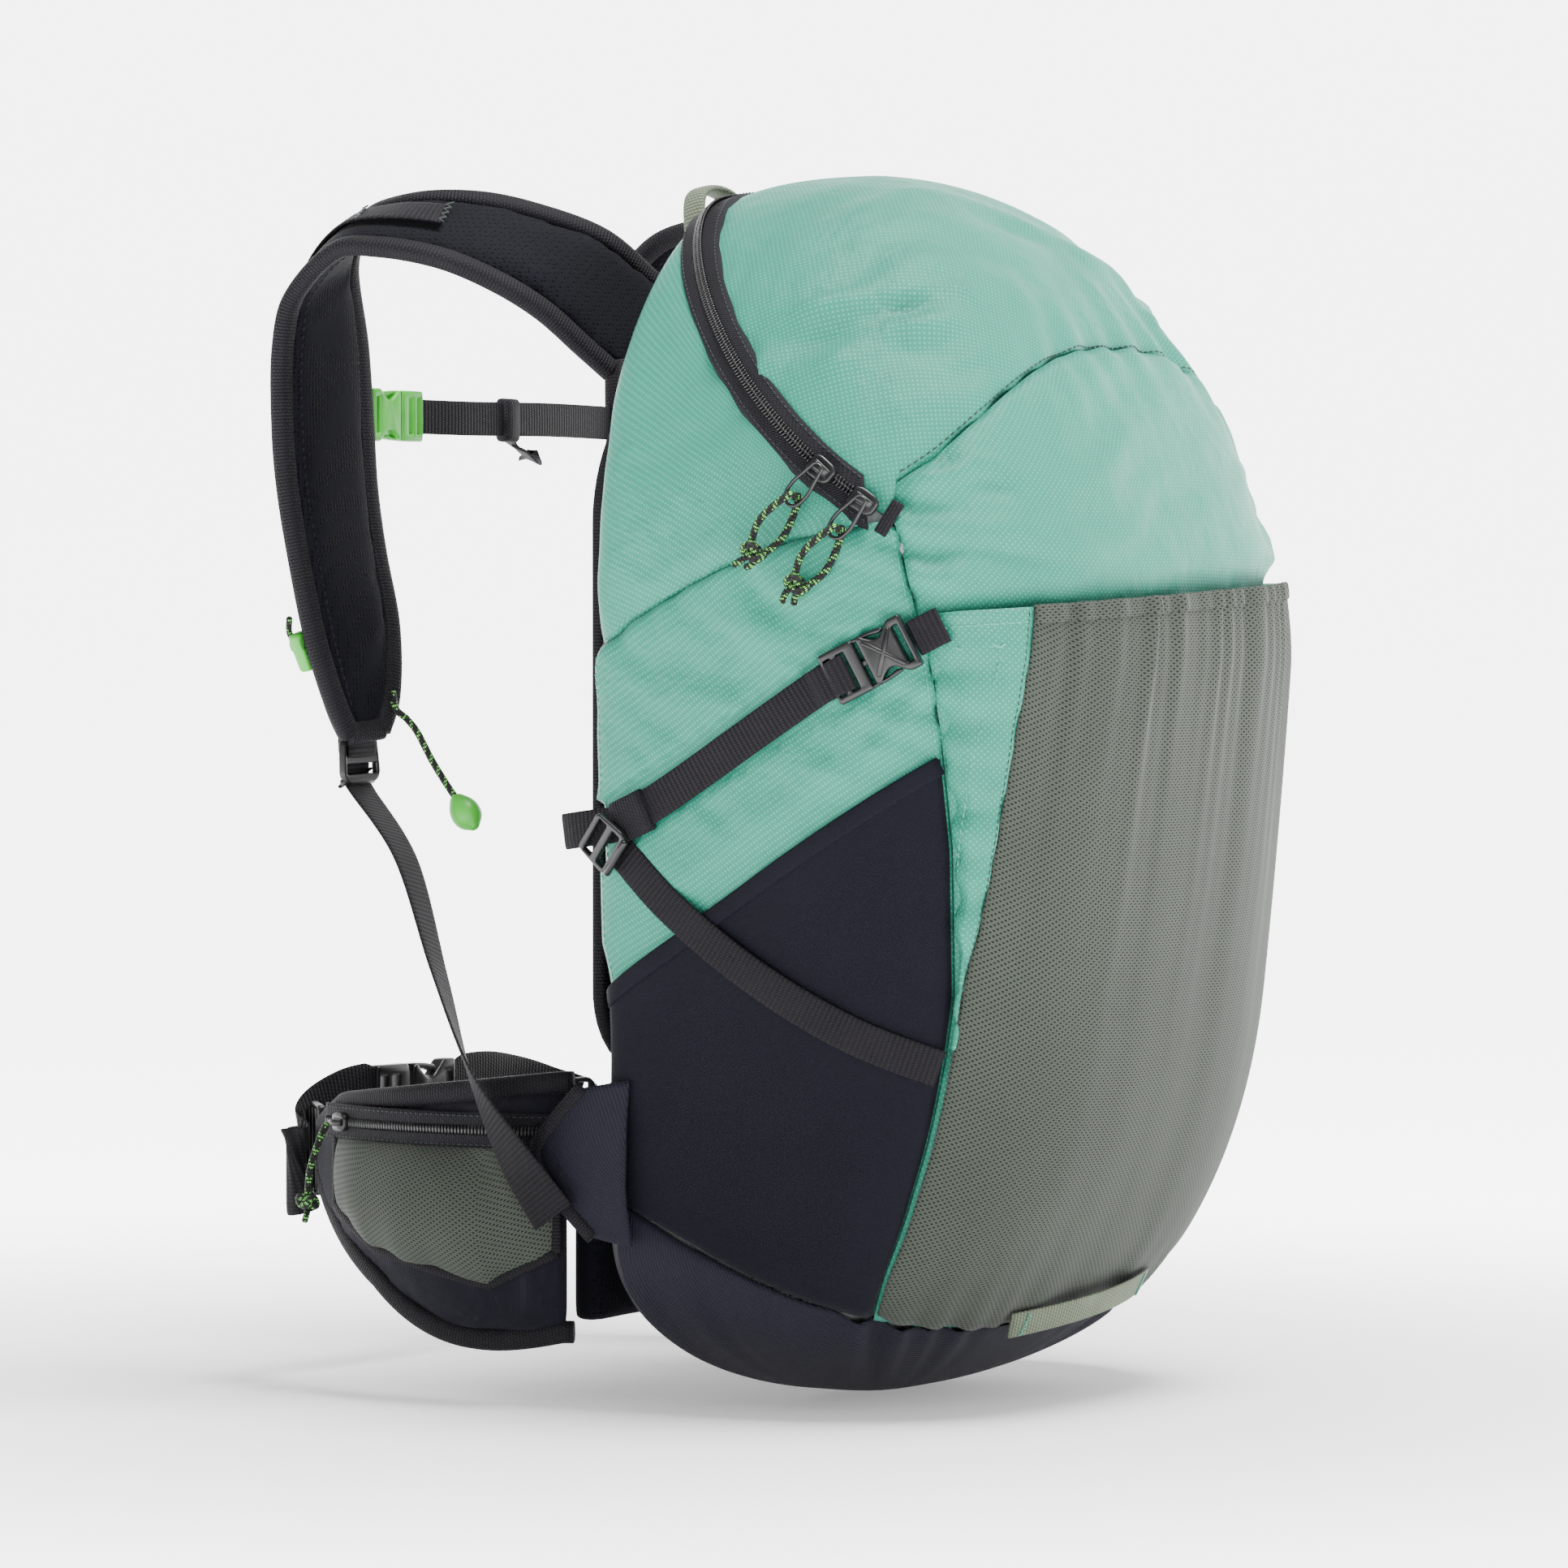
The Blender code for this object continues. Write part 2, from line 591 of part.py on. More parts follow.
def shoulder_straps():
    for word, side in SIDES.items():
        outer = [mirrored(p, side) for p in smooth(STRAP_OUTER, 2)]
        inner = [mirrored(p, side) for p in smooth(STRAP_INNER, 2)]
        rows = [[o.lerp(i, 0.03), (o + i) / 2, o.lerp(i, 0.97)] for o, i in zip(outer, inner)]
        pad = grid(f"shoulder_strap_{word}", rows, PADDING, STRAP_THICK)
        pad.modifiers["wall"].offset = 0.8 * side
        foot_mid = (outer[-1] + inner[-1]) / 2
        down = (foot_mid - (outer[-3] + inner[-3]) / 2).normalized()
        face = Vector((0, 1, 0.25))
        lock = foot_mid + down * 0.0110
        ladder(f"strap_ladder_{word}", frame_at(lock, down, face), STRAP_WEB, PLASTIC)
        route = [lock + down * 0.0120]
        route += [mirrored(p, side) for p in STRAP_WEB_ROUTE]
        line = smooth(route, 3)
        first, last = Vector((1, 0, 0)), Vector((0.10 * side, 0.80, -0.55)).normalized()
        turn = [first.lerp(last, k / (len(line) - 1)).normalized() for k in range(len(line))]
        band(f"strap_web_{word}", line, turn, STRAP_WEB, WEB_THICK, WEBBING)


def elastic_pull():
    """The elastic cord that comes out of the left strap's lower end, and its green pull."""
    route = [Vector(p) for p in ((-0.1080, 0.1080, 0.2790), (-0.1090, 0.1020, 0.2735),
                                 (-0.1100, 0.0940, 0.2620), (-0.1105, 0.0870, 0.2530),
                                 (-0.1110, 0.0810, 0.2460))]
    tube("strap_cord", smooth(route, 4), CORD / 2, CORD_CLOTH)
    pull = ball("strap_cord_pull", (0, 0, 0), (0.0052, 0.0046, 0.0085), GREEN)
    aim = (route[-1] - route[-2]).normalized()
    turn = Vector((0, 0, 1)).rotation_difference(aim)
    pull.rotation_mode = "QUATERNION"
    pull.rotation_quaternion = turn
    pull.location = route[-1] + aim * 0.0092


# ---- sternum strap ------------------------------------------------------------------
STERNUM_Y, STERNUM_Z = 0.1385, 0.4080


def sternum():
    out, along = Vector((0, 1, 0)), Vector((-1, 0, 0))
    buckle("sternum", Vector((-0.0720, STERNUM_Y, STERNUM_Z)), along, out, NARROW_WEB, GREEN)
    line = [Vector((-0.0550, STERNUM_Y, STERNUM_Z)),
            Vector((-0.0200, STERNUM_Y - 0.0050, STERNUM_Z)),
            Vector((0.0400, STERNUM_Y - 0.0050, STERNUM_Z + 0.001)),
            Vector((0.0920, STERNUM_Y, STERNUM_Z + 0.001))]
    line = smooth(line, 3)
    band("sternum_web", line, [Vector((0, 0, 1))] * len(line), NARROW_WEB, WEB_THICK, WEBBING)


# ---- hip belt -----------------------------------------------------------------------
def belt_point(side, degrees, grow=0.0):
    """A point in plan on a wing's arc, degrees forward of straight out, and its outward normal."""
    a = math.radians(degrees)
    normal = Vector((side * math.cos(a), math.sin(a), 0))
    centre = Vector((-side * WAIST_CENTRE[0], WAIST_CENTRE[1], 0))
    return centre + normal * (WAIST_RADIUS + grow), normal


def wing_span(degrees):
    """Lowest and highest z of a wing at an angle along its arc."""
    share = max(degrees + 19, 0) / 58
    low = 0.0240 - 0.006 * math.sin(math.pi * min(share * 1.6, 1)) + 0.062 * share**2.6
    high = 0.1330 - 0.016 * share - 0.010 * max(share - 0.8, 0) / 0.2
    return low, high


WING_FROM, WING_TO = -21, 38             # degrees along the wing's arc
WING_HINGE = belt_point(-1, WING_FROM)[0]
POCKET_FROM, POCKET_SPAN = -18.5, 45.5
POCKET_EDGE = 0.1035                     # top edge of a hip pocket
HIP_ZIP_Z = 0.1097
HIP_SLIDER_AT = 24


def hip_belt():
    for word, side in SIDES.items():
        rows = []
        for k in range(13):
            degrees = WING_FROM + (WING_TO - WING_FROM) * k / 12
            low, high = wing_span(degrees)
            place, _ = belt_point(side, degrees)
            rows.append([place + Vector((0, 0, low + (high - low) * k / 3)) for k in range(4)])
        wing = grid(f"hip_wing_{word}", rows, PADDING, WING_THICK)
        wing.modifiers["wall"].offset = 0
        rows = []
        for j in range(7):
            v = j / 6
            row = []
            for i in range(9):
                u = i / 8
                degrees = POCKET_FROM + POCKET_SPAN * u
                low = wing_span(degrees)[0] + 0.018
                z = low + (POCKET_EDGE - low) * v
                swell = 0.0135 * (math.sin(math.pi * u) * math.sin(math.pi * v)) ** 0.6
                place, normal = belt_point(side, degrees, WING_THICK / 2 + 0.0006 + swell)
                row.append(place + Vector((0, 0, z)))
            rows.append(row)
        if side < 0:
            rows = [row[::-1] for row in rows]
        grid(f"hip_pocket_{word}", rows, MESH, 0.0009)
        place, normal = belt_point(side, HIP_SLIDER_AT, WING_THICK / 2 + 0.0030)
        place.z = HIP_ZIP_Z
        along = normal.cross(Vector((0, 0, 1)))
        block(f"hip_slider_{word}", (0.0095, 0.0075, 0.0036), frame_at(place, along, normal),
              PLASTIC, 0.0009)
        stabiliser(word, side)
    low, high = wing_span(WING_FROM)
    thick = PAD_THICK + LUMBAR_OUT
    size = (2 * (-WING_HINGE.x - WING_THICK), thick, high - low - 0.004)
    middle = Matrix.Translation((0, PAD_FACE_Y + LUMBAR_OUT - thick / 2, (low + high) / 2))
    block("lumbar_pad", size, middle, PADDING, 0.0030)


def hip_pull():
    """The cord tied to the left hip pocket's slider."""
    place, normal = belt_point(-1, HIP_SLIDER_AT + 1.5, WING_THICK / 2 + 0.0078)
    start = place + Vector((0, 0, HIP_ZIP_Z - 0.0010))
    line = [start, start + normal * 0.0040 - Vector((0, 0, 0.008)),
            start + normal * 0.0080 - Vector((0, 0, 0.020)),
            start + normal * 0.0090 - Vector((0, 0, 0.034))]
    tube("hip_cord", smooth(line, 4), CORD / 2, CORD_CLOTH)


def stabiliser(word, side):
    """The cloth triangle that joins the wing to the bag's side and takes the strap's web."""
    edge = [(-0.1440, -0.0270, 0.1330), (-0.1450, -0.0260, 0.1150), (-0.1455, -0.0260, 0.1010),
            (-0.1455, -0.0260, 0.0850), (-0.1440, -0.0280, 0.0650)]
    lap = [(-0.1440, -0.0040, 0.1290), (-0.1435, 0.0100, 0.1150), (-0.1440, 0.0190, 0.1010),
           (-0.1440, 0.0090, 0.0850), (-0.1440, -0.0090, 0.0680)]
    rows = [[mirrored(p, side) for p in row] for row in (edge, lap)]
    flap = grid(f"stabiliser_{word}", rows, BASE_CLOTH, 0.0014)
    flap.modifiers["wall"].offset = 0


HIP_BUCKLE = Vector((-0.0200, 0.1690, 0.1105))


def hip_buckle():
    """The belt's front: a web from each wing, its lock, and the buckle between them."""
    up = Vector((0, 0, 1))
    buckle("hip", HIP_BUCKLE, Vector((1, 0, 0)), Vector((0, 1, 0)), BELT_WEB * 0.62, PLASTIC)
    ends = {"left": [(-0.0470, 0.1690, 0.1105), (-0.0650, 0.1705, 0.1085),
                     (-0.0850, 0.1717, 0.1020), (-0.0968, 0.1701, 0.0950),
                     (-0.1034, 0.1645, 0.0890), (-0.1072, 0.1640, 0.0870),
                     (-0.1085, 0.1680, 0.0855), (-0.1045, 0.1722, 0.0855),
                     (-0.0920, 0.1750, 0.0855)],
            "right": [(0.0180, 0.1690, 0.1105), (0.0450, 0.1705, 0.1105),
                      (0.0750, 0.1722, 0.1060), (0.0966, 0.1701, 0.1000),
                      (0.1036, 0.1642, 0.0970)]}
    for word, points in ends.items():
        line = smooth(points, 4)
        band(f"hip_web_{word}", line, [up] * len(line), BELT_WEB, WEB_THICK, WEBBING)
    for word, side in SIDES.items():
        place, normal = belt_point(side, WING_TO + 4.4)
        place += Vector((0, 0, 0.095))
        ladder(f"hip_lock_{word}", frame_at(place, normal.cross(up), normal), BELT_WEB * 0.9,
               PLASTIC)


# ---- pivots -------------------------------------------------------------------------
def pivot(name, place, pieces):
    """An empty on a joint's axis, with the pieces that turn or slide about it."""
    empty = bpy.data.objects.new(name, None)
    PACK.objects.link(empty)
    empty.location = place
    for piece in pieces:
        thing = bpy.data.objects[piece]
        thing.parent = empty
        thing.matrix_parent_inverse = Matrix.Translation(-Vector(place))
    return empty


bag_and_lid()
base_panel()
zip_tapes()
front_pocket()
side_pockets()
back_parts()
loops()
ZIP_PIVOTS = sliders()
compression_straps()
shoulder_straps()
elastic_pull()
sternum()
hip_belt()
hip_pull()
hip_buckle()

pivot("lid_fold", (0, HINGE_Y, HINGE_Z), ["lid_shell", "zip_tape_upper"])
pivot("haul_pivot", (0, 0.0165, 0.4715), ["haul_loop"])
for end, place in ZIP_PIVOTS.items():
    pivot(f"zip_run_{end}", place, [f"zip_slider_{end}"])
    pivot(f"zip_eye_{end}", place, [f"zip_pull_{end}", f"zip_cord_{end}"])
pivot("strap_anchor_left", (0, *STRAP_ANCHOR), ["shoulder_strap_left", "strap_ladder_left",
                                                "strap_cord", "strap_cord_pull",
                                                "sternum_socket"])
pivot("strap_anchor_right", (0, *STRAP_ANCHOR), ["shoulder_strap_right", "strap_ladder_right",
                                                 "sternum_web", "sternum_plug"])
for word, side in SIDES.items():
    pieces = [f"hip_wing_{word}", f"hip_pocket_{word}", f"hip_lock_{word}"]
    pivot(f"wing_hinge_{word}", mirrored(WING_HINGE, side), pieces)
    centre = mirrored((*WAIST_CENTRE, HIP_ZIP_Z), side)
    pivot(f"pocket_zip_{word}", centre, [f"hip_slider_{word}"])

# The origin goes to the middle of the back panel's face.
origin = bpy.data.objects.new("origin", None)
PACK.objects.link(origin)
origin.location = (0, -PAD_FACE_Y, -MOUNT_Z)
for thing in [*PACK.objects, *CUTTERS.objects]:
    if thing.parent is None and thing is not origin:
        thing.parent = origin
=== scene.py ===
"""Looks of the hiking backpack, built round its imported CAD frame, in metres.

Shapes are laid out from the bag's base, as the CAD's are (x = 0 in the middle, y = 0 the
bag's rearmost plane, z = 0 its lowest point), and every mesh is moved by SHIFT into the
frame's own origin when it is made. "left" is the wearer's left, -X.
"""
import bisect
import math
import random

import bmesh
import bpy
import numpy as np
from mathutils import Matrix, Vector


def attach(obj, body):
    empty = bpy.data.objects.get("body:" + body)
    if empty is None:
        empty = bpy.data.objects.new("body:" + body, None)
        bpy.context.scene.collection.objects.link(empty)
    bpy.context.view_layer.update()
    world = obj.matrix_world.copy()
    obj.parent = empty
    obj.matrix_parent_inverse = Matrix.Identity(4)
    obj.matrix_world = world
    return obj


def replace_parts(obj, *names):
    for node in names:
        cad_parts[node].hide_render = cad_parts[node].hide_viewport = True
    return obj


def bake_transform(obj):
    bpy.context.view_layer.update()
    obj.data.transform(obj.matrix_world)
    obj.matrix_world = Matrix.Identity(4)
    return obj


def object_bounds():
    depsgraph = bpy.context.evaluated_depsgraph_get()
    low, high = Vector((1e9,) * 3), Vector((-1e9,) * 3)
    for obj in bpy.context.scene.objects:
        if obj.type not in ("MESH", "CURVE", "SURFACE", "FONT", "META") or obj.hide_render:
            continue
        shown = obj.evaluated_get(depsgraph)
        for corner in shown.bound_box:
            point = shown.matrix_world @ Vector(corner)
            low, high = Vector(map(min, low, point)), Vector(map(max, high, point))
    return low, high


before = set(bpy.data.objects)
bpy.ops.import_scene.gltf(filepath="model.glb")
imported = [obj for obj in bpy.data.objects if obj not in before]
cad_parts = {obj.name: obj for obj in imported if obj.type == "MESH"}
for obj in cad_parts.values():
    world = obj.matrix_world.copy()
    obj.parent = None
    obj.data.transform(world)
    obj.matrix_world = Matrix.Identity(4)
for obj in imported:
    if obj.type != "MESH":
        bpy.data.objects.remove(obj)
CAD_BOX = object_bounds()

SHIFT = Vector((0, -0.0139, -0.2450))
SIDES = {"left": -1, "right": 1}
UP = Vector((0, 0, 1))

# ---- camera ----------------------------------------------------------------------------
CAMERA_PLACE = Vector((-2.5300, -1.5950, 0.0686))
CAMERA_AIM = Vector((0.0278, -0.0087, 0.0052))
lens = bpy.data.cameras.new("camera")
lens.lens = 160.7
lens.sensor_width = 36
lens.clip_end = 50
camera = bpy.data.objects.new("camera", lens)
bpy.context.scene.collection.objects.link(camera)
camera.location = CAMERA_PLACE
camera.rotation_euler = (CAMERA_AIM - CAMERA_PLACE).to_track_quat("-Z", "Y").to_euler()
bpy.context.scene.camera = camera

# ---- the bag's form, as in the CAD -----------------------------------------------------
HEIGHT = 0.505
MIDDLE = HEIGHT / 2
SPINE_Y = -0.058
HALF_WIDTH, WIDTH_GAIN = 0.146, 0.013
FRONT_DEPTH, DEPTH_GAIN, BACK_DEPTH = 0.146, 0.018, 0.058
SIDE_POWER, FRONT_POWER, BACK_POWER = 3.1, 2.8, 7.5
HINGE_Z = 0.3290
ZIP_END_Y, ZIP_END_Z = -0.147, 0.3595
ZIP_SLOPE, ZIP_CURVE, ZIP_END = 0.622, 2.98, 26.5
TAPE_WIDTH = 0.0085
MOUTH_Z, MOUTH_SLOPE = 0.1588, -0.65       # a side pocket's mouth: height at y = 0, and slope
MESH_TOP_Z, MESH_TOP_SLOPE = 0.3285, 0.050  # the mesh pocket's top edge: at x = 0, and slope
LIFT = 0.0018                              # how far outer cloths stand off the bag's own
PAD_THICK, PAD_FACE_Y = 0.010, 0.0139
CORD = 0.003


def cap(z, start, power):
    """1 below start, falling to 0 at the top of the bag."""
    share = min(max((z - start) / (HEIGHT - start), 0), 0.99999)
    return math.sqrt(1 - share**power)


def foot(z, start, power):
    """1 above start, falling to 0 at the base."""
    share = min(max((start - z) / start, 0), 0.99999)
    return math.sqrt(1 - share**power)


def reach(z):
    """Half width, front depth and back depth of the bag's section at height z."""
    above = (z - 0.25) / 0.25
    wide = (HALF_WIDTH + WIDTH_GAIN * above) * cap(z, 0.330, 2.07) * foot(z, 0.065, 2.0)
    front = (FRONT_DEPTH + DEPTH_GAIN * above) * cap(z, 0.300, 1.5) * foot(z, 0.173, 2.2)
    back = BACK_DEPTH * cap(z, 0.470, 3.0) * foot(z, 0.100, 3.2)
    return wide, front, back


def skin(angle, z, grow=0.0):
    """The bag's outer surface at an angle round its spine (0 at +X, 90 at the back) and height."""
    wide, front, back = reach(z)
    c, s = math.cos(math.radians(angle)), math.sin(math.radians(angle))
    depth, power = (back, BACK_POWER) if s > 0 else (front, FRONT_POWER)
    x = math.copysign((wide + grow) * abs(c) ** (2 / SIDE_POWER), c)
    y = math.copysign((depth + grow) * abs(s) ** (2 / power), s) + SPINE_Y
    return Vector((x, y, z + grow * (z - MIDDLE) / MIDDLE))


def side_point(side, y, z, grow=0.0):
    """The point of the bag's side surface over (y, z), and the surface's normal there."""
    def place(y, z):
        wide, front, back = reach(z)
        depth, power = (back, BACK_POWER) if y > SPINE_Y else (front, FRONT_POWER)
        share = max(1 - (abs(y - SPINE_Y) / depth) ** power, 0)
        return Vector((side * wide * share ** (1 / SIDE_POWER), y, z))
    step = 0.001
    along_y = place(y + step, z) - place(y - step, z)
    along_z = place(y, z + step) - place(y, z - step)
    normal = along_y.cross(along_z).normalized() * side
    return place(y, z) + normal * grow, normal


HINGE_Y = skin(-90, HINGE_Z).y - 0.0003
FOLD_SLOPE = (ZIP_END_Z - HINGE_Z) / (ZIP_END_Y - HINGE_Y)


def zip_line(off=0.0):
    """Where the lid parts from the bag, as a height over a point, moved by off along its rise."""
    def height(p):
        t = max(p.y - ZIP_END_Y, 0)
        steep = off * math.sqrt(1 + (ZIP_SLOPE + 2 * ZIP_CURVE * t) ** 2)
        fold = HINGE_Z + FOLD_SLOPE * (p.y - HINGE_Y)
        return min(fold, ZIP_END_Z) + ZIP_SLOPE * t + ZIP_CURVE * t * t + steep
    return height


def base_seam(p):
    """Where the dark base cloth meets the mint, rising towards the back."""
    return 0.092 + 0.47 * p.y


def panel_seam(p):
    """The seam over each side, from the zip's end down to the back edge."""
    return 0.2985 - 0.688 * p.y - 1.835 * p.y * p.y


def pocket_mouth(p):
    """Mouth of a side pocket."""
    return MOUTH_Z + MOUTH_SLOPE * p.y


def mesh_top(p):
    """Top edge of the mesh pocket."""
    return MESH_TOP_Z + MESH_TOP_SLOPE * p.x


def front_seam(p):
    """The seam across the lid's front, from one end of the zip to the other."""
    share = (0.015 - p.x) / 0.150 if p.x < 0.015 else (p.x - 0.015) / 0.120
    return 0.4322 - 0.0605 * share**2.6


def table(rows):
    """A function that runs straight between the rows (place, value)."""
    places, values = zip(*rows)
    return lambda at: float(np.interp(at, places, values))


# Degrees forward of the side, by height: the side's front seam, and the mesh pocket's edge
SEAM_AT = table([(0.03, 39.6), (0.09, 39.8), (0.138, 41.5), (0.17, 42.9), (0.228, 41.7),
                 (0.27, 39.0), (0.298, 36.7), (0.327, 33.8), (0.353, 32.4), (0.372, 30.2)])
MESH_AT = table([(0.03, 40.0), (0.09, 40.2), (0.138, 41.9), (0.17, 43.4), (0.2126, 48.2),
                 (0.2755, 53.0), (0.3239, 57.0)])

quarter = np.linspace(0, 1, 400)
ARC_ANGLES = np.concatenate([-90 * quarter[::-1] ** 3.75, (90 * quarter**1.4)[1:]])
ring_points = np.array([skin(-a, 0.25) for a in ARC_ANGLES])
ring_steps = np.linalg.norm(np.diff(ring_points, axis=0), axis=1)
ARC_LENGTHS = np.concatenate([[0], np.cumsum(ring_steps)])


def arc_of(forward):
    """Distance round a mid-height section, for degrees forward of the side (-90 to 90)."""
    return float(np.interp(forward, ARC_ANGLES, ARC_LENGTHS))


def forward_of(arc):
    return float(np.interp(arc, ARC_LENGTHS, ARC_ANGLES))


def turn(side, forward):
    """The angle of skin() at degrees forward of a side."""
    return -forward if side > 0 else forward - 180


def meet(angle_at, level, grow=0.0):
    """The height at which the column of the surface with angle_at(z) crosses level(point)."""
    low, high = 0.0005, HEIGHT - 0.0005
    for _ in range(36):
        z = (low + high) / 2
        point = skin(angle_at(z), z, grow)
        if point.z > level(point):
            high = z
        else:
            low = z
    return low


# ---- curves and frames -----------------------------------------------------------------
def smooth(points, steps):
    """A smooth curve through points (Catmull-Rom), with steps pieces between each two."""
    pts = [Vector(p) for p in points]
    pts = [pts[0] * 2 - pts[1], *pts, pts[-1] * 2 - pts[-2]]
    line = []
    for a, b, c, d in zip(pts, pts[1:], pts[2:], pts[3:]):
        for k in range(steps):
            t = k / steps
            line.append(0.5 * (2 * b + (c - a) * t + (2 * a - 5 * b + 4 * c - d) * t * t
                               + (3 * b - 3 * c + d - a) * t**3))
    return [*line, pts[-2]]


def tangents(line):
    """Direction of a line at each of its points."""
    ends = [line[0], *line, line[-1]]
    return [(c - a).normalized() for a, c in zip(ends, ends[2:])]


def lengths(line):
    """Distance of each point along a line."""
    total = [0.0]
    for a, b in zip(line, line[1:]):
        total.append(total[-1] + (b - a).length)
    return total


def frame_at(place, along, out):
    """A frame at place with its X along one direction and its Z out of a surface."""
    x = along.normalized()
    z = (out - x * out.dot(x)).normalized()
    y = z.cross(x)
    return Matrix.Translation(place) @ Matrix((x, y, z)).transposed().to_4x4()


def mirrored(point, side):
    """A point given for the left side, on the side asked for."""
    return Vector((-side * point[0], point[1], point[2]))


def over_side(side, path, lift, steps=8):
    """Points over the bag's side and the direction across the strap, from a path in (y, z)."""
    flat = smooth([(0, y, z) for y, z in path], steps)
    spots = [side_point(side, p.y, p.z, lift) for p in flat]
    line = [s[0] for s in spots]
    across = [t.cross(s[1]).normalized() for t, s in zip(tangents(line), spots)]
    return line, across


# ---- materials -------------------------------------------------------------------------
class Paint:
    """A node material in the making: each method adds a node and gives its output."""

    def __init__(self, name):
        self.made = bpy.data.materials.new(name)
        self.made.use_nodes = True
        self.tree = self.made.node_tree
        self.shader = self.tree.nodes["Principled BSDF"]
        spots = self.tree.nodes.new("ShaderNodeTexCoord")
        apart = self.tree.nodes.new("ShaderNodeSeparateXYZ")
        self.tree.links.new(spots.outputs["UV"], apart.inputs[0])
        self.u, self.v = apart.outputs[0], apart.outputs[1]
        self.place = spots.outputs["Object"]

    def feed(self, socket, value):
        if isinstance(value, bpy.types.NodeSocket):
            self.tree.links.new(value, socket)
        else:
            socket.default_value = value

    def math(self, operation, *values):
        node = self.tree.nodes.new("ShaderNodeMath")
        node.operation = operation
        for socket, value in zip(node.inputs, values):
            self.feed(socket, value)
        return node.outputs[0]

    def wave(self, along, pitch, phase=0.0):
        """A cosine of that pitch, from -1 to 1."""
        return self.math("COSINE", self.math("MULTIPLY_ADD", along, math.tau / pitch, phase))

    def noise(self, scale, detail=2.0, where=None):
        node = self.tree.nodes.new("ShaderNodeTexNoise")
        self.feed(node.inputs["Vector"], self.place if where is None else where)
        node.inputs["Scale"].default_value = scale
        node.inputs["Detail"].default_value = detail
        return node.outputs["Fac"]

    def cells(self, scale, randomness):
        node = self.tree.nodes.new("ShaderNodeTexVoronoi")
        self.feed(node.inputs["Vector"], self.place)
        node.inputs["Scale"].default_value = scale
        node.inputs["Randomness"].default_value = randomness
        return node.outputs["Distance"]

    def over(self, value, low, high, to_low=0.0, to_high=1.0):
        """value carried smoothly from low..high to to_low..to_high."""
        node = self.tree.nodes.new("ShaderNodeMapRange")
        node.interpolation_type = "SMOOTHSTEP"
        for socket, given in zip(node.inputs, (value, low, high, to_low, to_high)):
            self.feed(socket, given)
        return node.outputs[0]

    def mix(self, share, a, b):
        node = self.tree.nodes.new("ShaderNodeMix")
        node.data_type = "RGBA"
        self.feed(node.inputs[0], share)
        self.feed(node.inputs[6], a if isinstance(a, bpy.types.NodeSocket) else (*a, 1))
        self.feed(node.inputs[7], b if isinstance(b, bpy.types.NodeSocket) else (*b, 1))
        return node.outputs[2]

    def finish(self, colour, roughness, height=None, depth=0.0003, strength=0.6, sheen=0.0,
               metallic=0.0, tint=(1, 1, 1), specular=0.5):
        shader = self.shader.inputs
        self.feed(shader["Base Color"],
                  colour if isinstance(colour, bpy.types.NodeSocket) else (*colour, 1))
        self.feed(shader["Roughness"], roughness)
        shader["Metallic"].default_value = metallic
        shader["Sheen Weight"].default_value = sheen
        shader["Sheen Roughness"].default_value = 0.45
        shader["Sheen Tint"].default_value = (*tint, 1)
        shader["Specular IOR Level"].default_value = specular
        if height is not None:
            bump = self.tree.nodes.new("ShaderNodeBump")
            bump.inputs["Strength"].default_value = strength
            bump.inputs["Distance"].default_value = depth
            self.feed(bump.inputs["Height"], height)
            self.tree.links.new(bump.outputs[0], shader["Normal"])
        return self.made


def ripstop(name, dark, light, dot):
    """Coated ripstop: a fine plain weave with a lattice of paler floats."""
    p = Paint(name)
    dots = p.math("MULTIPLY", p.wave(p.u, dot), p.wave(p.v, dot))
    mask = p.over(dots, 0.25, 0.9)
    worn = p.over(p.noise(9, 3), 0.3, 0.7)
    weave = p.math("MULTIPLY", p.wave(p.u, 0.00042), p.wave(p.v, 0.00042))
    shade = p.mix(worn, [c * 0.955 for c in dark], [min(c * 1.045, 1) for c in dark])
    fine = p.mix(p.over(p.noise(1400, 1), 0.3, 0.7), [0.96] * 3, [1.04] * 3)
    tone = p.tree.nodes.new("ShaderNodeMix")
    tone.data_type = "RGBA"
    tone.blend_type = "MULTIPLY"
    tone.inputs[0].default_value = 1.0
    p.feed(tone.inputs[6], shade)
    p.feed(tone.inputs[7], fine)
    colour = p.mix(p.math("MULTIPLY", mask, 0.62), tone.outputs[2], light)
    crumple = p.over(p.noise(42, 4), 0.30, 0.70, 0, 5.0)
    height = p.math("ADD", p.math("MULTIPLY_ADD", mask, 0.30, p.math("MULTIPLY", weave, 0.10)),
                    crumple)
    rough = p.over(mask, 0, 1, 0.52, 0.40)
    return p.finish(colour, rough, height, 0.00035, 0.7, sheen=0.04, specular=0.25)


def knit(name, dark, light, pitch, rough=0.75, sheen=0.02):
    """A close knit with columns of small loops."""
    p = Paint(name)
    loops = p.math("MULTIPLY", p.wave(p.u, pitch), p.wave(p.v, pitch * 0.7))
    colour = p.mix(p.over(loops, -0.6, 0.9), dark, light)
    colour = p.mix(p.over(p.noise(14, 3), 0.35, 0.7, 0, 0.35), colour, light)
    return p.finish(colour, rough, p.math("MULTIPLY", loops, 0.5), 0.00022, 0.5, sheen=sheen,
                    specular=0.12)


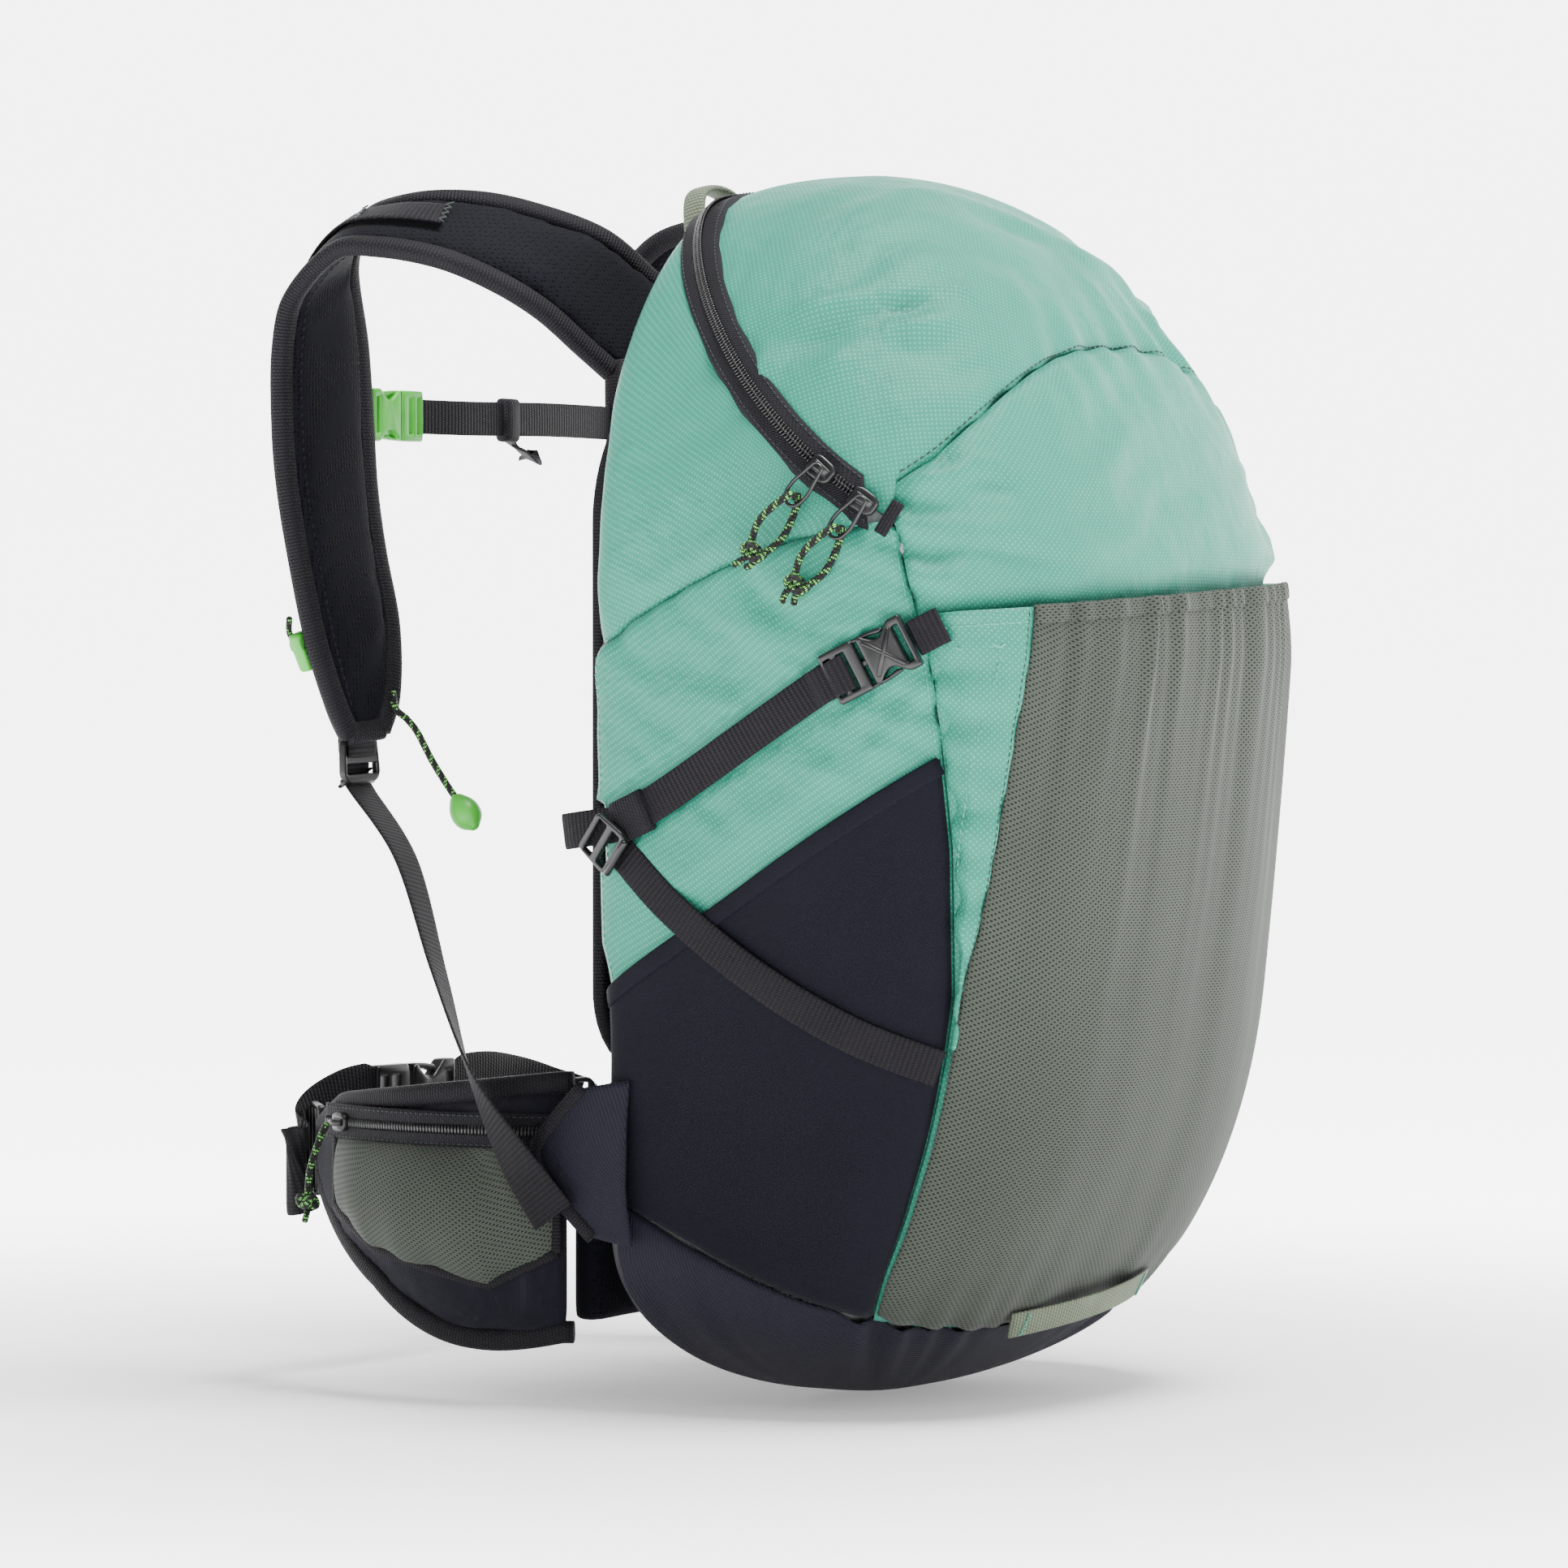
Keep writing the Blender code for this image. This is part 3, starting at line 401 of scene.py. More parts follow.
def holed(name, dark, light, across, up):
    """An open mesh: staggered rows of small holes in a knitted ground, the holes painted
    near-black as painted shade.
    """
    p = Paint(name)
    lattice = p.math("MULTIPLY", p.wave(p.u, across), p.wave(p.v, up))
    holes = p.over(lattice, 0.18, 0.62)
    ribs = p.wave(p.v, up / 2)
    ground = p.mix(p.over(ribs, -1, 1), light, [c * 0.72 for c in light])
    ground = p.mix(p.over(p.noise(16, 3), 0.3, 0.7, 0, 0.3), ground, [c * 1.25 for c in light])
    # The holes take the near-black dark colour: painted shade for the space behind the mesh.
    colour = p.mix(holes, ground, dark)
    return p.finish(colour, 0.72, p.math("MULTIPLY", holes, -1.0), 0.0004, 0.7, sheen=0.05,
                    specular=0.2)


def twill(name, dark, light, pitch):
    p = Paint(name)
    lean = p.math("ADD", p.u, p.math("MULTIPLY", p.v, 0.8))
    line = p.wave(lean, pitch)
    yarn = p.wave(p.v, pitch * 0.7)
    colour = p.mix(p.over(line, -0.7, 0.9), dark, light)
    colour = p.mix(p.over(p.noise(20, 4), 0.35, 0.7, 0, 0.4), colour, light)
    height = p.math("MULTIPLY_ADD", line, 0.6, p.math("MULTIPLY", yarn, 0.25))
    return p.finish(colour, 0.66, height, 0.00025, 0.6, sheen=0.02, specular=0.16)


def webbing(name, dark, light, rib=0.0021, yarn=0.0011):
    """Woven tape: u runs along it, v across. Ribs cross it, with rolled selvedges."""
    p = Paint(name)
    ribs = p.wave(p.u, rib)
    warp = p.math("MULTIPLY", p.wave(p.v, yarn), p.wave(p.u, rib * 2))
    height = p.math("MULTIPLY_ADD", ribs, 0.55, p.math("MULTIPLY", warp, 0.45))
    colour = p.mix(p.over(height, -0.7, 0.8), dark, light)
    colour = p.mix(p.over(p.noise(60, 3), 0.4, 0.75, 0, 0.35), colour, light)
    return p.finish(colour, 0.7, height, 0.00028, 0.7, sheen=0.02, specular=0.16)


def spacer(name, dark, light, scale):
    """Padded air mesh: a lattice of small round holes in a fuzzy knit, from the piece's place, the
    holes painted darker as painted shade in their hollows.
    """
    p = Paint(name)
    near = p.cells(scale, 0.28)
    holes = p.over(near, 0.20, 0.42, 1, 0)
    worn = p.over(p.noise(24, 4), 0.35, 0.7)
    ground = p.mix(worn, light, [c * 1.55 for c in light])
    fuzz = p.noise(2600, 2)
    # The holes take the darker colour: painted shade in the hollows.
    colour = p.mix(holes, p.mix(fuzz, [c * 0.8 for c in light], ground), dark)
    height = p.math("MULTIPLY_ADD", holes, -1.0, p.math("MULTIPLY", fuzz, 0.35))
    return p.finish(colour, 0.85, height, 0.0004, 0.7, sheen=0.03, specular=0.10)


def plastic(name, colour, rough):
    """Moulded acetal with a fine spark texture, its tone and roughness varying a little at random.
    """
    p = Paint(name)
    grain = p.noise(1800, 2)
    broad = p.noise(70, 3)
    tone = p.mix(p.over(broad, 0.3, 0.7), [c * 0.9 for c in colour], [c * 1.12 for c in colour])
    worn = p.over(broad, 0.3, 0.7, rough - 0.05, rough + 0.07)
    return p.finish(tone, worn, grain, 0.00012, 0.35)


def braid(name, dark, light, fleck):
    """Braided cord: u runs along it in metres, v round it from 0 to 1."""
    p = Paint(name)
    lay = p.math("DIVIDE", p.u, 0.0030)
    one = p.math("SINE", p.math("MULTIPLY", p.math("MULTIPLY_ADD", p.v, 3.0, lay), math.tau))
    two = p.math("SINE", p.math("MULTIPLY", p.math("MULTIPLY_ADD", p.v, -3.0, lay), math.tau))
    strands = p.math("MULTIPLY", one, two)
    step = p.math("FRACT", p.math("MULTIPLY_ADD", p.v, 1.0, p.math("DIVIDE", p.u, 0.0062)))
    band = p.math("MULTIPLY", p.over(step, 0.02, 0.07), p.over(step, 0.40, 0.47, 1, 0))
    tufts = p.math("MULTIPLY", band, p.over(strands, 0.10, 0.40))
    ground = p.mix(p.over(strands, -0.5, 0.8), dark, light)
    colour = p.mix(tufts, ground, fleck)
    return p.finish(colour, 0.62, strands, 0.00045, 0.8, sheen=0.03, specular=0.25)


def thread(name, colour):
    p = Paint(name)
    twist = p.wave(p.u, 0.0009)
    tone = p.mix(p.over(twist, -1, 1), [c * 0.75 for c in colour], colour)
    return p.finish(tone, 0.55, twist, 0.0001, 0.5, sheen=0.1)


def metal(name, colour):
    p = Paint(name)
    grain = p.noise(900, 3)
    return p.finish(colour, p.over(grain, 0.3, 0.7, 0.25, 0.42), grain, 0.0001, 0.2, metallic=1.0)


# Strength of the backdrop's glow: painted light, the sweep lit by its own emission though it is no
# lamp.
GLOW = 4.9                # brings the backdrop to the photo's near-white, away from the object


def floor_paint():
    p = Paint("studio_floor_painted_light")
    tone = p.mix(p.over(p.noise(3, 2), 0.3, 0.7), (0.86, 0.86, 0.86), (0.88, 0.88, 0.88))
    away = p.tree.nodes.new("ShaderNodeVectorMath")
    away.operation = "LENGTH"
    p.feed(away.inputs[0], p.place)
    # Emission by distance from the object: dim within 0.22 m, full from 1.05 m on. The dim zone is
    # a painted shadow round the object's base, and the glow beyond it is painted light on the
    # backdrop.
    p.feed(p.shader.inputs["Emission Strength"],
           p.over(away.outputs["Value"], 0.22, 1.05, 0.3, GLOW))
    p.shader.inputs["Emission Color"].default_value = (1, 1, 1, 1)
    return p.finish(tone, 0.9, p.noise(400, 2), 0.0002, 0.1, specular=0.1)


MINT = ripstop("mint_ripstop", (0.019, 0.222, 0.150), (0.100, 0.430, 0.325), 0.0026)
MINT_STITCH = thread("mint_thread", (0.09, 0.42, 0.31))
DARK_STITCH = thread("dark_thread", (0.008, 0.022, 0.020))
# The mesh's dark colour is the painted shade in its holes.
MESH = holed("grey_green_mesh", (0.007, 0.0085, 0.007), (0.054, 0.065, 0.051), 0.0030, 0.0022)
STRETCH = knit("black_stretch", (0.0022, 0.0022, 0.0055), (0.0065, 0.0065, 0.0120), 0.0012)
TWILL = twill("base_twill", (0.0050, 0.0048, 0.0105), (0.0125, 0.0115, 0.0220), 0.0018)
WEB = webbing("black_webbing", (0.0030, 0.0025, 0.0036), (0.0110, 0.0095, 0.0125))
BINDING = webbing("binding_tape", (0.0036, 0.0032, 0.0045), (0.0115, 0.0105, 0.0140), 0.0014,
                  0.0016)
TAPE = webbing("zip_tape", (0.0042, 0.0038, 0.0052), (0.0125, 0.0115, 0.0155), 0.0012, 0.0020)
LOOP_WEB = webbing("green_grey_webbing", (0.085, 0.105, 0.070), (0.210, 0.250, 0.180), 0.0016,
                   0.0016)
# The padding's dark colour is painted shade in its holes.
PADDING = spacer("strap_mesh", (0.0010, 0.0010, 0.0018), (0.0048, 0.0048, 0.0080), 520)
PLASTIC = plastic("black_plastic", (0.0060, 0.0060, 0.0068), 0.36)
GREEN = plastic("green_plastic", (0.050, 0.380, 0.030), 0.42)
CORD_PAINT = braid("flecked_cord", (0.0035, 0.0040, 0.0040), (0.0150, 0.0160, 0.0150),
                   (0.24, 0.85, 0.15))
LINING = ripstop("grey_lining", (0.30, 0.32, 0.32), (0.40, 0.42, 0.42), 0.0040)
METAL = metal("brushed_aluminium", (0.75, 0.76, 0.77))
SHEET = plastic("hdpe_sheet", (0.012, 0.012, 0.013), 0.5)
ZIP_COIL = plastic("zip_coil", (0.0040, 0.0040, 0.0048), 0.30)


# ---- mesh building ---------------------------------------------------------------------
def piece(name, verts, faces, uvs, paint, smooth_faces=True):
    """One mesh object. uvs has one (u, v) for each vertex, in metres."""
    mesh = bpy.data.meshes.new(name)
    mesh.from_pydata([tuple(Vector(v) + SHIFT) for v in verts], [], faces)
    layer = mesh.uv_layers.new(name="UVMap")
    index = np.empty(len(mesh.loops), np.int32)
    mesh.loops.foreach_get("vertex_index", index)
    layer.data.foreach_set("uv", np.asarray(uvs, np.float32)[index].reshape(-1))
    mesh.materials.append(paint)
    mesh.shade_smooth() if smooth_faces else mesh.shade_flat()
    thing = bpy.data.objects.new(name, mesh)
    bpy.context.scene.collection.objects.link(thing)
    return thing


def faced_out(thing):
    """The piece with the normals of its closed bodies turned outwards."""
    shape = bmesh.new()
    shape.from_mesh(thing.data)
    bmesh.ops.recalc_face_normals(shape, faces=shape.faces)
    shape.to_mesh(thing.data)
    shape.free()
    return thing


def modifier(thing, kind, **settings):
    added = thing.modifiers.new(kind.lower(), kind)
    for key, value in settings.items():
        setattr(added, key, value)
    return added


def settled(thing):
    """The object's mesh with its modifiers applied."""
    bpy.context.view_layer.update()
    graph = bpy.context.evaluated_depsgraph_get()
    mesh = bpy.data.meshes.new_from_object(thing.evaluated_get(graph))
    thing.modifiers.clear()
    if thing.type == "MESH":
        thing.data = mesh
        return thing
    made = bpy.data.objects.new(thing.name, mesh)
    bpy.context.scene.collection.objects.link(made)
    made.matrix_world = thing.matrix_world
    name = thing.name
    bpy.data.objects.remove(thing)
    made.name = name
    return made


def join(name, things):
    """Several pieces as one object, each with its own paint."""
    shape = bmesh.new()
    paints = []
    for thing in things:
        settled(thing)
        thing.data.transform(thing.matrix_world)
        for slot in thing.data.materials:
            if slot not in paints:
                paints.append(slot)
        shift = [paints.index(slot) for slot in thing.data.materials]
        for face in thing.data.polygons:
            face.material_index = shift[face.material_index]
        shape.from_mesh(thing.data)
    mesh = bpy.data.meshes.new(name)
    shape.to_mesh(mesh)
    shape.free()
    for thing in things:
        bpy.data.objects.remove(thing)
    for slot in paints:
        mesh.materials.append(slot)
    made = bpy.data.objects.new(name, mesh)
    bpy.context.scene.collection.objects.link(made)
    return made


def ring_faces(first, count, rings):
    """Faces between rings of count vertices each, numbered on from first, and over both ends."""
    faces = []
    for low in range(first, first + (rings - 1) * count, count):
        for i in range(count):
            j = (i + 1) % count
            faces.append((low + i, low + j, low + count + j, low + count + i))
    last = first + (rings - 1) * count
    return faces + [tuple(range(first, first + count))[::-1], tuple(range(last, last + count))]


def sweep(name, line, sections, paint, uv_round=False):
    """A body whose cross-sections (lists of points) follow a line. u runs along, v round."""
    count = len(sections[0])
    runs = lengths(line)
    verts = [p for section in sections for p in section]
    if uv_round:
        turns = [1 - abs(2 * i / count - 1) for i in range(count)]
    else:
        girth = [0.0]
        for a, b in zip(sections[0], sections[0][1:]):
            girth.append(girth[-1] + (b - a).length)
        turns = [min(g, 2 * girth[count // 2] - g) for g in girth]
    uvs = [(runs[k], turns[i]) for k in range(len(sections)) for i in range(count)]
    return piece(name, verts, ring_faces(0, count, len(sections)), uvs, paint)


def oval(t, power):
    """t raised to a power, with its sign kept: below 1, it squares a circle off."""
    return math.copysign(abs(t) ** power, t)


def ribbon(name, line, across, width, thick, paint, square=0.35, points=16):
    """A woven strap along a line, with rounded edges. width may be one for each point."""
    widths = width if hasattr(width, "__len__") else [width] * len(line)
    sections = []
    for p, t, a, w in zip(line, tangents(line), across, widths):
        a = (a - t * a.dot(t)).normalized()
        n = t.cross(a)
        ring = []
        for i in range(points):
            turn_by = math.tau * i / points
            ring.append(p + a * (w / 2 * oval(math.cos(turn_by), square))
                        + n * (thick / 2 * oval(math.sin(turn_by), 0.7)))
        sections.append(ring)
    return sweep(name, line, sections, paint)


def carried(line, first=None):
    """A direction square to a line at each point, carried along it without twist."""
    ways = tangents(line)
    aside = first or ways[0].orthogonal()
    out = []
    for t in ways:
        aside = (aside - t * aside.dot(t)).normalized()
        out.append(aside)
    return out


def tube(name, line, radius, paint, sides=12):
    """A round cord or wire with rounded ends. v runs from 0 to 1 and back round it."""
    radii = radius if hasattr(radius, "__len__") else [radius] * len(line)
    ways, asides = tangents(line), carried(line)
    line = [line[0] - ways[0] * radii[0] * 0.5, *line, line[-1] + ways[-1] * radii[-1] * 0.5]
    radii = [radii[0] * 0.6, *radii, radii[-1] * 0.6]
    ways, asides = [ways[0], *ways, ways[-1]], [asides[0], *asides, asides[-1]]
    sections = []
    for p, t, a, r in zip(line, ways, asides, radii):
        b = t.cross(a)
        sections.append([p + a * (r * math.cos(math.tau * i / sides))
                         + b * (r * math.sin(math.tau * i / sides)) for i in range(sides)])
    return sweep(name, line, sections, paint, uv_round=True)


def moulded(name, outlines, thick, bevel, at, paint):
    """A flat moulding: the first outline (points in x, y) less the others, with rounded edges."""
    data = bpy.data.curves.new(name, "CURVE")
    data.dimensions = "2D"
    data.fill_mode = "BOTH"
    data.extrude = thick / 2 - bevel
    data.bevel_depth = bevel
    data.bevel_resolution = 2
    data.offset = -bevel
    for outline in outlines:
        spline = data.splines.new("POLY")
        spline.points.add(len(outline) - 1)
        for knot, (x, y) in zip(spline.points, outline):
            knot.co = (x, y, 0, 1)
        spline.use_cyclic_u = True
    data.materials.append(paint)
    thing = bpy.data.objects.new(name, data)
    bpy.context.scene.collection.objects.link(thing)
    thing.matrix_world = Matrix.Translation(SHIFT) @ at
    thing = settled(thing)
    thing.data.transform(thing.matrix_world)
    thing.matrix_world = Matrix.Identity(4)
    if not thing.data.uv_layers:
        thing.data.uv_layers.new(name="UVMap")
    thing.data.uv_layers[0].name = "UVMap"
    shape = bmesh.new()
    shape.from_mesh(thing.data)
    bmesh.ops.remove_doubles(shape, verts=shape.verts, dist=1e-6)
    shape.to_mesh(thing.data)
    shape.free()
    thing.data.shade_smooth()
    thing.data.set_sharp_from_angle(angle=math.radians(38))
    return thing


def rounded(points, radius, steps=4):
    """A closed outline with its corners rounded off."""
    out = []
    count = len(points)
    for k in range(count):
        a, b, c = (Vector((*points[i % count], 0)) for i in (k - 1, k, k + 1))
        cut = min(radius, (a - b).length * 0.45, (c - b).length * 0.45)
        p, q = b + (a - b).normalized() * cut, b + (c - b).normalized() * cut
        for s in range(steps + 1):
            t = s / steps
            spot = p * (1 - t) ** 2 + b * 2 * t * (1 - t) + q * t * t
            out.append((spot.x, spot.y))
    return out


def box_outline(x0, x1, y0, y1, radius=0.001):
    return rounded([(x0, y0), (x1, y0), (x1, y1), (x0, y1)], radius)


# ---- cloth panels ----------------------------------------------------------------------
def ripple(s, seed, pitch):
    """An irregular wave along s, about -1 to 1, whose pitch wanders about the one given."""
    dice = random.Random(seed)
    total = np.zeros_like(s)
    for k in range(5):
        own = pitch * dice.uniform(0.62, 1.7)
        total += dice.uniform(0.5, 1) * np.sin(s * math.tau / own + dice.uniform(0, math.tau))
    return total / 2.4


def folds(points, spec):
    """Relief of soft folds: each of spec is (place, direction, length, width, depth)."""
    total = np.zeros(points.shape[:-1])
    for place, way, long, wide, deep in spec:
        off = points - np.array(place)
        unit = np.array(Vector(way).normalized())
        along = off @ unit
        aside = np.linalg.norm(off - along[..., None] * unit, axis=-1)
        total += deep * np.exp(-((along / long) ** 2)) * (
            np.exp(-((aside / wide) ** 2)) - 0.45 * np.exp(-((aside / (2.1 * wide)) ** 2)))
    return total


def scattered(seed, count, place, way, spread=0.35, long=(0.018, 0.045), wide=(0.0035, 0.007),
              deep=0.0013):
    """Folds at places given by place(dice), all running about one way."""
    dice = random.Random(seed)
    made = []
    for _ in range(count):
        lean = Vector([dice.gauss(0, spread) for _ in range(3)])
        made.append((tuple(place(dice)), Vector(way).normalized() + lean,
                     dice.uniform(*long), dice.uniform(*wide),
                     deep * dice.choice((-1, 1)) * dice.uniform(0.5, 1)))
    return made


class Panel:
    """A cloth panel over a grid of points, with distances to its four borders for its relief."""

    def __init__(self, points, ring=False):
        self.points = points
        self.ring = ring
        across = np.linalg.norm(np.diff(points, axis=1), axis=2)
        along = np.linalg.norm(np.diff(points, axis=0), axis=2)
        self.left = np.concatenate([np.zeros((len(points), 1)), np.cumsum(across, axis=1)], axis=1)
        self.right = self.left[:, -1:] - self.left
        self.low = np.concatenate([np.zeros((1, points.shape[1])), np.cumsum(along, axis=0)])
        self.high = self.low[-1:] - self.low
        normals = np.cross(np.gradient(points, axis=1), np.gradient(points, axis=0))
        size = np.maximum(np.linalg.norm(normals, axis=2, keepdims=True), 1e-12)
        self.normals = normals / size
        outward = points - np.array((0, SPINE_Y, MIDDLE))
        self.flip = (self.normals * outward).sum() < 0
        if self.flip:
            self.normals = -self.normals

    def seam(self, distance, depth=0.0013, width=0.0022):
        self.lift(-depth * np.exp(-((distance / width) ** 2)))

    def puff(self, distance, height=0.0016, width=0.014):
        self.lift(height * (1 - np.exp(-distance / width)))

    def pucker(self, distance, run, seed, depth=0.0014, pitch=0.019, fade=0.016):
        wave = ripple(run, seed, pitch)
        self.lift(depth * np.exp(-distance / fade) * (np.abs(wave) ** 0.8 * np.sign(wave) - 0.2))

    def lift(self, amount):
        self.points = self.points + self.normals * amount[..., None]

    def make(self, name, paint, wall=0.0007, pole=None, inward=True):
        rows, columns = self.points.shape[:2]
        verts = [Vector(p) for p in self.points.reshape(-1, 3)]
        uvs = [(l, b) for l, b in zip(((self.left - self.right) / 2).reshape(-1),
                                      self.low.reshape(-1))]
        faces = []
        for j in range(rows - 1):
            for i in range(columns if self.ring else columns - 1):
                k = (i + 1) % columns
                face = (j * columns + i, j * columns + k, (j + 1) * columns + k,
                        (j + 1) * columns + i)
                faces.append(face[::-1] if self.flip else face)
        if pole is not None:
            verts.append(Vector(pole))
            uvs.append((0.0, float(self.low[-1, 0]) + 0.003))
            for i in range(columns):
                face = ((rows - 1) * columns + i, (rows - 1) * columns + (i + 1) % columns,
                        len(verts) - 1)
                faces.append(face[::-1] if self.flip else face)
        thing = piece(name, verts, faces, uvs, paint)
        if wall:
            modifier(thing, "SOLIDIFY", thickness=wall, offset=-1 if inward else 1)
        return thing

    def row(self, edge, step=0):
        """The points and the normals of one border, or of the line step cells inside it."""
        where = {"left": np.s_[:, step], "right": np.s_[:, -1 - step],
                 "low": np.s_[step], "high": np.s_[-1 - step]}[edge]
        return [Vector(p) for p in self.points[where]], [Vector(n) for n in self.normals[where]]


def always(value):
    return lambda _: value


def between(side, start, stop):
    """Columns between two edges of one side, each given in degrees forward by height."""
    def angle_of(c, z):
        arc = arc_of(start(z)) * (1 - c) + arc_of(stop(z)) * c
        return turn(side, forward_of(arc))
    return angle_of


def across_front(edge):
    """Columns across the front from the left seam to the right, edge(z) degrees forward."""
    half = arc_of(90)

    def angle_of(c, z):
        arc = half - abs(2 * c - 1) * (half - arc_of(edge(z)))
        return turn(-1 if c < 0.5 else 1, forward_of(arc))
    return angle_of


def over_bag(columns, rows, angle_of, bottom, top, grow=None):
    """A grid of points on the bag. Column c (0 to 1) runs up angle_of(c, z), from bottom to top,
    each the height that a column's angles give. grow(c, angle, z, low) stands a point off."""
    points = np.empty((rows + 1, columns + 1, 3))
    for i in range(columns + 1):
        c = i / columns

        def angle_at(z):
            return angle_of(c, z)
        low, high = bottom(angle_at), top(angle_at)
        for j in range(rows + 1):
            z = low + (high - low) * j / rows
            angle = angle_at(z)
            points[j, i] = skin(angle, z, grow(c, angle, z, low) if grow else 0.0)
    return points


def at_level(level, rise=0.0):
    """The height at which a column crosses a level, and rise more."""
    return lambda angle_at: meet(angle_at, level) + rise


def point_at(line, marks, at):
    """The point at a distance along a line whose lengths() are marks, and its piece's number."""
    k = min(bisect.bisect_right(marks, at) - 1, len(marks) - 2)
    part = (at - marks[k]) / max(marks[k + 1] - marks[k], 1e-9)
    return line[k].lerp(line[k + 1], part), k


def stitches(name, runs, paint, pitch=0.0032, share=0.68, radius=0.00026):
    """Rows of stitches along lines, each run a (line, normals) pair, all as one piece."""
    sides, rings = 6, 3
    verts, faces, uvs = [], [], []
    for line, ups in runs:
        marks = lengths(line)
        at = pitch / 2
        while at + pitch < marks[-1]:
            spots = [point_at(line, marks, at + pitch * share * n / 2) for n in range(rings)]
            way = (spots[2][0] - spots[0][0]).normalized()
            faces += ring_faces(len(verts), sides, rings)
            for n, (p, k) in enumerate(spots):
                up = ups[k]
                aside = way.cross(up).normalized()
                size = radius * (1.0 if n == 1 else 0.62)
                rise = radius * (0.9 if n == 1 else -0.1)
                for i in range(sides):
                    a = math.tau * i / sides
                    verts.append(p + up * (rise + size * math.sin(a)) + aside * size * math.cos(a))
                    uvs.append((n * pitch * share / 2, i / sides * 0.001))
            at += pitch
    return piece(name, verts, faces, uvs, paint)


TOOTH_PITCH = 0.0016


def tooth_row(name, teeth, base, half_long, half_wide):
    """A row of rounded coil teeth, each at (centre, outward, way), its foot base off the line."""
    sides = 8
    verts, faces, uvs = [], [], []
    for n, (centre, up, way) in enumerate(teeth):
        aside = up.cross(way).normalized()
        faces += ring_faces(len(verts), sides, 3)
        for level, scale in ((0.0, 1.0), (0.0009, 1.0), (0.0014, 0.55)):
            for i in range(sides):
                a = math.tau * i / sides
                verts.append(centre + way * (half_long * scale * oval(math.cos(a), 0.7))
                             + aside * (half_wide * scale * oval(math.sin(a), 0.7))
                             + up * (base + level))
                uvs.append((n * TOOTH_PITCH, i / sides))
    return faced_out(piece(name, verts, faces, uvs, ZIP_COIL))


# ---- free cords ------------------------------------------------------------------------
def on_zip(y):
    """The point of the left side's zip line at y, and the bag's normal there."""
    height = zip_line()(Vector((0, y, 0)))
    return side_point(-1, y, height)


def trefoil(centre, size, around, steps=48):
    """An overhand knot pulled tight: a closed trefoil line of that size, its axis along around."""
    turn_to = UP.rotation_difference(around)
    line = []
    for k in range(steps + 1):
        t = math.tau * k / steps
        flat = Vector((math.sin(t) + 2 * math.sin(2 * t), math.cos(t) - 2 * math.cos(2 * t),
                       -1.35 * math.sin(3 * t)))
        line.append(centre + turn_to @ (flat * size / 3))
    return line


SLIDERS = {"rear": -0.1195, "front": -0.1365}
HANG = Vector((-0.10, 0.66, -0.75)).normalized()
DOWN = Vector((-0.20, 0.56, -0.83)).normalized()
OUT = Vector((-1, 0, 0))


def zip_pulls():
    """The wire ring on each slider, and the looped cord that is knotted through it."""
    for word, y in SLIDERS.items():
        body = f"zip_pull_{word}"
        place, normal = on_zip(y)
        pivot = place + normal * 0.0110
        aside = HANG.cross(OUT).normalized()
        wire = [pivot + aside * w + HANG * d for w, d in
                ((-0.0012, -0.0010), (-0.0022, 0.0), (-0.0034, 0.006), (-0.0044, 0.012),
                 (-0.0034, 0.0175), (0, 0.0196), (0.0034, 0.0175), (0.0044, 0.012),
                 (0.0034, 0.006), (0.0022, 0.0), (0.0012, -0.0010))]
        ring = tube(f"zip_ring_{word}", smooth(wire, 6), 0.0008, PLASTIC, 10)
        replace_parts(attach(ring, body), f"zip_pull_{word}")
        eye = pivot + HANG * 0.0158
        half = [(0.0, 0.0, 0.0), (0.0026, 0.0006, -0.0006), (0.0036, 0.0018, 0.0030),
                (0.0030, 0.0046, 0.0120), (0.0020, 0.0050, 0.0190), (0.0004, 0.0024, 0.0275)]
        strand = [(OUT * w + aside * a + DOWN * d, OUT * -w + aside * -a + DOWN * d)
                  for w, a, d in half]
        loop = [eye + b for _, b in reversed(strand)] + [eye + f for f, _ in strand[1:]]
        route = smooth(loop, 6)
        cord = tube(f"zip_cord_{word}_loop", route, CORD / 2, CORD_PAINT, 14)
        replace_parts(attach(cord, body), f"zip_cord_{word}")
        knot_at = eye + DOWN * 0.0275
        knot = tube(f"zip_cord_{word}_knot_turns", trefoil(knot_at, 0.0046, DOWN), 0.00155,
                    CORD_PAINT, 12)
        lean = 0.0016 if word == "rear" else -0.0012
        tails = [tube(f"zip_cord_{word}_tail_{n}",
                      smooth([knot_at + OUT * w - DOWN * 0.001,
                              knot_at + OUT * w * 1.2 + aside * a + DOWN * 0.0045,
                              knot_at + OUT * w * 1.5 + aside * (a + lean) + DOWN * long], 5),
                      0.00138, CORD_PAINT, 12)
                 for n, (w, a, long) in enumerate(((0.0012, 0.0018, 0.0086),
                                                   (-0.0010, -0.0014, 0.0070)))]
        knot = join(f"zip_cord_{word}_knot", [knot, *tails])
        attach(knot, body)
        round(lengths(route)[-1], 4)


ELASTIC_ROUTE = [(-0.1080, 0.1080, 0.2790), (-0.1090, 0.1020, 0.2735),
                 (-0.1100, 0.0940, 0.2620), (-0.1105, 0.0870, 0.2530),
                 (-0.1110, 0.0810, 0.2460)]


